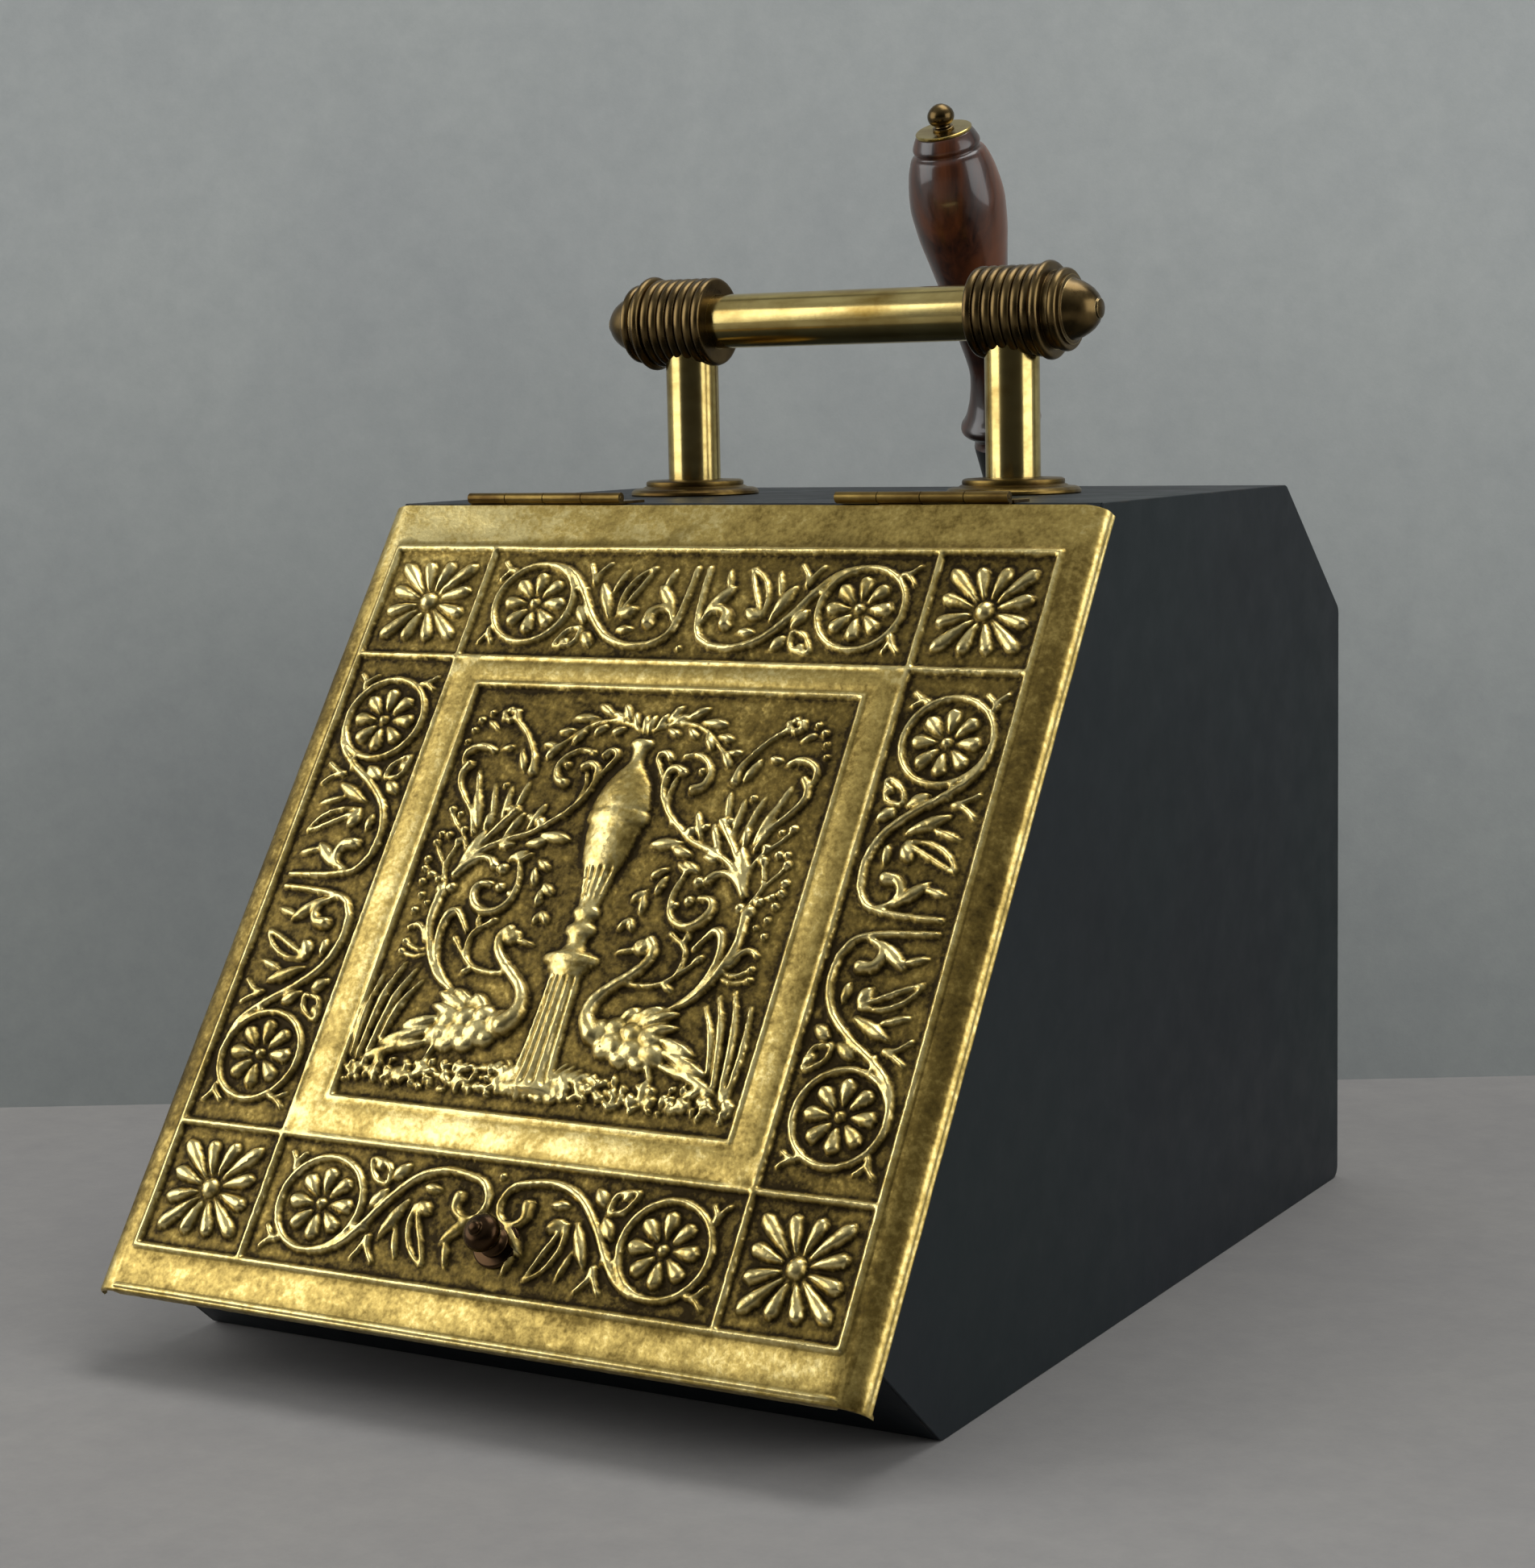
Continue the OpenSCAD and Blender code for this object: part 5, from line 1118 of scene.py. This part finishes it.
grassSpec = {
    "rows": (225.5, 235.5),
    "reach": 77,             # across, either side of the middle
    "blades": 120,
    "bladeLean": 65,         # degrees either way
    "bladeLength": (2.5, 5.5),
    "bladeWidth": (0.8, 1.3),
    "bladeTall": (1.2, 2.0),
    "tufts": 70,
    "tuftSize": (0.8, 1.6),
    "archBlades": 7,
    "archAcross": ((3, 1.6), (10, 3.2)),     # first blade and spacing, at the foot and at the tip
    "archRows": (234, 228, 221.5),           # foot, bend and tip down the lid
    "archRadii": [1.0, 0.9, 0.5],
}


def bothSides(draw):
    # the panel's halves mirror each other about its axis
    for side in (-1, 1):
        draw(lambda x, v: (panelSpec["axis"] + side * x, v + panelSpec["drop"]))


def pressSwan(place):
    spec = panelSpec
    way = 1 if place(1, 0)[0] > place(0, 0)[0] else -1
    for at, radius, tall, stretch, turn in spec["swanBody"] + [spec["swanHead"]]:
        boss(place(*at), radius, tall, stretch, way * turn)
    neck, radii = spec["swanNeck"]
    cord([place(*p) for p in neck], radii, 1.0, 0.2)
    root, tip, wide, tall, fat = spec["swanBeak"]
    leaf(place(*root), place(*tip), wide, tall, fat)
    for root, tip, wide, tall in spec["swanFeathers"]:
        leaf(place(*root), place(*tip), wide, tall, 0.6, 0.6)
    # the eye is a prick in the head
    at, near = spec["swanHead"][0], 2
    x0, x1 = sorted(place(at[0] + side * near, 0)[0] for side in (-1, 1))
    part, x, v = window(x0, x1, at[1] - near, at[1] + near)
    eye, deep, size = spec["swanEye"]
    eye = place(*eye)
    height[part] -= deep * np.exp(-((x - eye[0]) ** 2 + (v - eye[1]) ** 2) / size)


def pressTurned(line, fluted):
    # a turned form seen from the front, with flutes cut between two heights
    spec = panelSpec
    vs, halves = zip(*line)
    axis = spec["axis"]
    part, x, v = window(axis - spec["turnedReach"], axis + spec["turnedReach"], vs[0], vs[-1])
    half = np.interp(v, vs, halves)
    off = (x - axis) / half
    dome = half * np.clip(1 - off ** 2, 0, None)
    groove = np.abs(np.cos(np.pi * spec["flutes"] * (off + 1) / 2)) ** 5
    end = spec["fluteEnd"]
    cut = np.clip((v - fluted[0]) / end, 0, 1) * np.clip((fluted[1] - v) / end, 0, 1)
    flutes = spec["fluteDepth"] * groove * cut * np.clip(half / 6, 0, 1)
    raiseTo(part, np.abs(off) < 1, spec["turnedLevel"] + spec["roundness"] * dome - flutes)


def pressGrass():
    spec = grassSpec
    low, high = spec["rows"]
    for side in (-1, 1):
        for k in range(spec["blades"]):
            x, v = side * chance.uniform(1, spec["reach"]), chance.uniform(low + 2, high)
            turn = math.radians(chance.uniform(-spec["bladeLean"], spec["bladeLean"]))
            length = chance.uniform(*spec["bladeLength"])
            tip = (x + length * math.sin(turn), v - length * math.cos(turn))
            leaf((x, v), tip, chance.uniform(*spec["bladeWidth"]), chance.uniform(*spec["bladeTall"]), 0.5)
        for k in range(spec["tufts"]):
            at = side * chance.uniform(0, spec["reach"]), chance.uniform(low + 4, high + 0.5)
            boss(at, chance.uniform(*spec["tuftSize"]), chance.uniform(*spec["tuftSize"]))
        # tall blades arch away from the column's foot
        foot, bend, tip = spec["archRows"]
        for k in range(spec["archBlades"]):
            x, tipX = (side * (first + pitch * k) for first, pitch in spec["archAcross"])
            blade = [(x, foot), (x + side * 2, bend - 0.2 * k), (tipX, tip + 0.9 * k)]
            cord(blade, spec["archRadii"], 1.2)


def panelHalf(place):
    spec = panelSpec
    for points, radii in spec["cords"]:
        cord([place(*p) for p in points], radii, spec["cordTall"])
    for root, tip, wide, tall in spec["leaves"]:
        leaf(place(*root), place(*tip), wide * spec["leafWiden"], tall, 0.6)
    for x, v, radius in spec["berries"]:
        boss(place(x, v), radius, 1.0 + 0.4 * radius)
    at, petals, (ringX, ringV), radius, tall = spec["blossom"]
    x, v = place(*at)
    for k in range(petals):
        g = math.radians(360 / petals * k + 20)
        boss((x + ringX * math.cos(g), v + ringV * math.sin(g)), radius, tall)
    pressSwan(place)


def pressPanel():
    pressGrass()
    bothSides(panelHalf)
    pressTurned(panelSpec["column"], panelSpec["columnFlutes"])
    pressTurned(panelSpec["urn"], panelSpec["urnFlutes"])


def blurred(values, reach, passes=1):
    # box blur of the grid, repeated
    for _ in range(passes):
        for axis in (0, 1):
            total = values.copy()
            for k in range(1, reach + 1):
                for way in (-k, k):
                    moved = np.roll(values, way, axis)
                    edge = [slice(None)] * 2
                    edge[axis] = slice(0, k) if way > 0 else slice(-k, None)
                    moved[tuple(edge)] = values[tuple(edge)]
                    total += moved
            values = total / (2 * reach + 1)
    return values


wearSpec = {
    "ground": 0.64,
    "plain": 0.24,
    "rubbed": 0.64,          # how far a raised form is rubbed back to bright brass
    "raised": (0.25, 1.3),   # mm over the ground at which that starts, and over which it grows
    "hollow": 0.3,
    "hollowFull": 0.42,      # mm below what is round it
    "crest": 0.32,
    "crestFull": 0.3,        # mm above what is round it
    "matting": 0.06,         # mm of stipple on the ground
    # centre x, centre v, reach x, reach v and how much darker: patches here and there, some of them painted
    # shade and one a painted highlight, as noted below
    "patchesAndPaintedLight": [
        (110, 10, 70, 22, 0.12), (20, 8, 60, 16, 0.06), (-120, 12, 40, 30, -0.24), (0, 72, 90, 7, 0.06),
        (0, 43, 150, 22, -0.14), (-86, 160, 6, 90, -0.06), (86, 160, 8, 100, 0.18),
        (-20, 250, 70, 8, -0.08), (-30, 312, 60, 8, 0.06), (120, 312, 40, 8, -0.12),
        # the narrow band at v 321.5 is a painted highlight along the foot's edge
        (0, 321.5, 150, 1.8, -0.45), (-146, 160, 7, 160, 0.2), (146, 160, 7, 160, 0.36),
        # the patch at (-8, 283) is a painted shadow of the knob; those at v 116 and 138 are painted shade
        # on the urn's crown and sides
        (-8, 283, 22, 15, 0.35), (-1.6, 116, 14, 8, 0.26), (6.5, 138, 3.5, 12, 0.4),
        (-12, 138, 2.5, 12, 0.3), (143, 316, 6, 5, 0.6),
    ],
}


def wearAndPaintedLight():
    # hollows beside raised forms are darkest, crests are rubbed bright, plain brass lies between; the
    # patches then add painted shade and a painted highlight in a few places and darken or brighten others
    w = wearSpec
    near = blurred(height, 3, 2) - height
    cells = blurred(ornament.astype(float), 2)
    start, over = w["raised"]
    raised = np.clip((height - lidSpec["ground"] - start) / over, 0, 1)
    level = w["plain"] + (w["ground"] - w["plain"]) * cells
    level = level - w["rubbed"] * raised * cells
    hollow, crest = np.clip(near / w["hollowFull"], 0, 1), np.clip(-near / w["crestFull"], 0, 1)
    level = np.clip(level + w["hollow"] * hollow - w["crest"] * crest, 0, 1)
    for x, v, rx, rv, more in w["patchesAndPaintedLight"]:
        level = level + more * np.exp(-((gridX[None, :] - x) / rx) ** 2 - ((gridV[:, None] - v) / rv) ** 2)
    return np.clip(level, 0, 1)


dentSpec = {
    "count": 150,
    "zones": [(0, 22), (300, 321), (0, 321)],     # down the lid; each dent falls in one of them
    "reach": (4, 14),
    "depth": (-0.35, 0.3),
    "most": 0.28,                                 # never as deep as the skin's inner face
}


def pressDents():
    # soft dents in the plain brass at the top, foot and sides
    spec = dentSpec
    field = np.zeros_like(height)
    for k in range(spec["count"]):
        x = chance.uniform(-lidSpec["flat"], lidSpec["flat"])
        v = chance.choice([chance.uniform(*zone) for zone in spec["zones"]])
        reach, deep = chance.uniform(*spec["reach"]), chance.uniform(*spec["depth"])
        part, gx, gv = windowRound((x, v), (x, v), 3 * reach)
        field[part] += deep * np.exp(-((gx - x) / reach) ** 2 - ((gv - v) / (0.6 * reach)) ** 2)
    return spec["most"] * np.tanh(field / spec["most"])


ornament = pressGround()
pressLines()
pressBorders()
pressPanel()
height = blurred(height, 1)
patinaAndPaintedLight = wearAndPaintedLight()
matting = blurred(chance.normal(0, 1, height.shape), 1)
height = height + matting * wearSpec["matting"] / matting.std() * blurred(ornament.astype(float), 2)
height = height + pressDents()
say("lid is pressed")


skinSpec = {
    "thick": 1.0,
    "rollDrop": 6.0,         # the rolled side turns down this far
    "rollSteps": 12,
    "rollInset": 0.4,
    "hem": [(0.35, 0.35), (0, 0.7), (0, 1.4)],    # inset from the half-width and drop under the roll
    # the rolled sides wander in and out: how much, in how many waves, and how much of it shows
    "ripple": 0.12,
    "ripples": 60,
    "rippleShare": 0.6,
    "footRound": 0.85,
    "footTurns": (18, 36, 54, 72, 90),            # degrees round the foot
    "lip": 4.0,                                   # turned down at the foot
    "sideLip": 1.6,
    "lipTaper": 0.999,
    "chip": 0.35,                                 # the lip's raw end is a little uneven
    "chips": 90,
    "chipReach": 150,
    "innerFoot": 1.2,
    "innerFrom": -3.0,                            # below this the skin has one even patina
    "innerPatina": 0.2,
}


def rollProfile():
    # the rolled side from the flat skin to the hem: (across, out) points
    spec = skinSpec
    flat, drop, wide = lidSpec["flat"], spec["rollDrop"], lidSpec["halfWidth"]
    reach = wide - spec["rollInset"] - flat
    arc = [(flat + reach * math.sin(g), -drop + drop * math.cos(g))
           for g in np.linspace(0, math.pi / 2, spec["rollSteps"])[1:]]
    return arc + [(wide - inset, -drop - under) for inset, under in spec["hem"]]


def faceRows(outX, outN, edge):
    # the outer face: one row of points across the lid for each line of the pressed grid
    spec = skinSpec
    x = np.repeat(outX[None, :], rowCount, 0)
    v = np.repeat(gridV[:, None], len(outX), 1)
    n = np.repeat(outN[None, :], rowCount, 0)
    n[:, edge:-edge] += height
    waves = np.linspace(0, lidSpec["length"], spec["ripples"])
    ripple = np.interp(gridV, waves, chance.normal(0, spec["ripple"], spec["ripples"]))
    fade = np.linspace(0, 1, edge)
    n[:, :edge] += ripple[:, None] * fade[::-1][None, :] * spec["rippleShare"]
    n[:, -edge:] += ripple[::-1][:, None] * fade[None, :] * spec["rippleShare"]
    # the last rows draw up to where the foot's rounding starts
    foot = lidSpec["length"] - spec["footRound"]
    v[-3:] = np.linspace(foot - 0.4, foot, 3)[:, None]
    return x, v, n


def footRows(outX, outN, last):
    # over the foot, down the lip, round its raw end and back up the inner face
    spec = skinSpec
    flat, foot, r, thick = lidSpec["flat"], lidSpec["length"], spec["footRound"], spec["thick"]
    # inward directions of the cross-section, for the inner face
    dx, dn = np.gradient(outX), np.gradient(outN)
    size = np.hypot(dx, dn)
    inX = outX + dn / size * thick
    inN = outN - dx / size * thick
    lip = np.where(np.abs(outX) <= flat, spec["lip"], spec["sideLip"])
    places = np.linspace(-spec["chipReach"], spec["chipReach"], spec["chips"])
    chips = np.minimum(chance.normal(0, spec["chip"], spec["chips"]), 0.0)
    end = outN - (lip + np.interp(outX, places, chips))
    level = np.zeros_like(outX)
    rows = [(outX, level + (foot - r + r * math.sin(g)), last - r + r * math.cos(g))
            for g in np.radians(spec["footTurns"])]
    rows += [
        (outX, level + foot, end),
        (outX * spec["lipTaper"], level + (foot - thick), end),
        (inX, level + (foot - spec["innerFoot"]), inN),
        (inX, level + lidSpec["edge"], inN),
    ]
    return [np.array(part) for part in zip(*rows)]


def skinFaces(total, count):
    # quads between neighbouring rows, a strip along the top edge and both end faces
    ids = np.arange(total * count).reshape(total, count)
    a, b, c, d = ids[:-1, :-1], ids[:-1, 1:], ids[1:, 1:], ids[1:, :-1]
    faces = np.stack([a, d, c, b], -1).reshape(-1, 4).tolist()
    faces += [[ids[0, i], ids[0, i + 1], ids[-1, i + 1], ids[-1, i]] for i in range(count - 1)]
    return faces + [ids[:, 0][::-1].tolist(), ids[:, -1].tolist()]


def layPatina(mesh, places):
    # each point takes its patina from the pressed grid
    i = np.clip(np.rint((places[:, 0] - gridX[0]) / (gridX[1] - gridX[0])), 0, columnCount - 1).astype(int)
    j = np.clip(np.rint((places[:, 1] - gridV[0]) / (gridV[1] - gridV[0])), 0, rowCount - 1).astype(int)
    wearAndShade = np.where(places[:, 2] < skinSpec["innerFrom"], skinSpec["innerPatina"], patinaAndPaintedLight[j, i])
    mesh.attributes.new("patinaAndPaintedLight", "FLOAT", "POINT").data.foreach_set("value", wearAndShade.astype(np.float32))


def makeLidSkin():
    # made in lid measures, thinned out, then laid on the slope
    roll = rollProfile()
    across = [(-x, n) for x, n in reversed(roll)] + [(x, 0.0) for x in gridX] + roll
    outX, outN = np.array(across).T.copy()
    face = faceRows(outX, outN, len(roll))
    foot = footRows(outX, outN, face[2][-1])
    points = np.stack([np.vstack(pair) for pair in zip(face, foot)], -1)
    mesh = bpy.data.meshes.new("lidSkin")
    mesh.from_pydata(points.reshape(-1, 3).tolist(), [], skinFaces(*points.shape[:2]))
    mesh = facesOutward(mesh, triangles=True)
    mesh = applied(mesh, "DECIMATE", ratio=lidSpec["triangles"] / len(mesh.polygons))
    places = np.zeros(len(mesh.vertices) * 3)
    mesh.vertices.foreach_get("co", places)
    places = places.reshape(-1, 3)
    layPatina(mesh, places)
    mesh.vertices.foreach_set("co", lidPlace(*places.T).reshape(-1))
    # down the slope runs against y, which turned the faces inside out
    facesOutward(mesh)
    say(f"lid skin has {len(mesh.polygons)} faces")
    addPiece("lidPressed", mesh, "lid", "lid_brass", ("lid_skin",), sharp=60, flats=False)


makeLidSkin()

knobSpec = {
    # distance out from the skin and radius
    "rose": [(0, 0), (0, 8.5), (0.5, 8.5), (0.9, 8.2), (1.3, 7.6), (1.3, 0)],
    "knob": [(1.3, 5.1), (2.2, 5.2), (2.9, 4.2), (4, 3.3), (5.4, 3.2), (6.6, 4.3), (8, 5.9), (10, 6.5),
             (12, 5.9), (13.4, 4.4), (14, 2.9), (14.4, 2.3), (15.3, 2.1), (16.1, 1.3), (16.3, 0)],
    "turns": 64,
}


def makeKnob():
    spec = knobSpec
    out = (0, -math.sin(lidLean), math.cos(lidLean))
    stud = middle("knob_stud")
    # back along the stud's axis to where it meets the skin
    level = (stud.y - lidSpec["topY"]) * out[1] + (stud.z - lidSpec["topZ"]) * out[2]
    at = stud - Vector(out) * level
    addPiece("knobRose", lathe(spec["rose"], at, out, spec["turns"]), "lid", "dark_bronze", ("knob_rose",))
    line = [(s, max(r, 0)) for s, r in smoothLine(spec["knob"], 3)]
    turned = lathe([(line[0][0], 0)] + line, at, out, spec["turns"])
    addPiece("knobTurned", turned, "lid", "dark_bronze", ("lid_knob",), sharp=50)


hardwareSpec = {
    "backing": ("lid", "black_iron", 0.3, ("lid_back",)),
    "movingLeaves": ("lid", "aged_brass", 0.15, ("hinge_moving_left", "hinge_moving_right")),
    "fixedLeaves": ("case", "aged_brass", 0.15, ("hinge_fixed_left", "hinge_fixed_right", "leaf_rivets")),
    "pins": ("case", "aged_brass", 0.15, ("hinge_pin_left", "hinge_pin_right")),
    "knobFixings": ("lid", "bare_iron", 0.15, ("knob_stud", "knob_nut")),
}
makeKnob()
dressAll(hardwareSpec)
say("lid's knob and hinges are made")
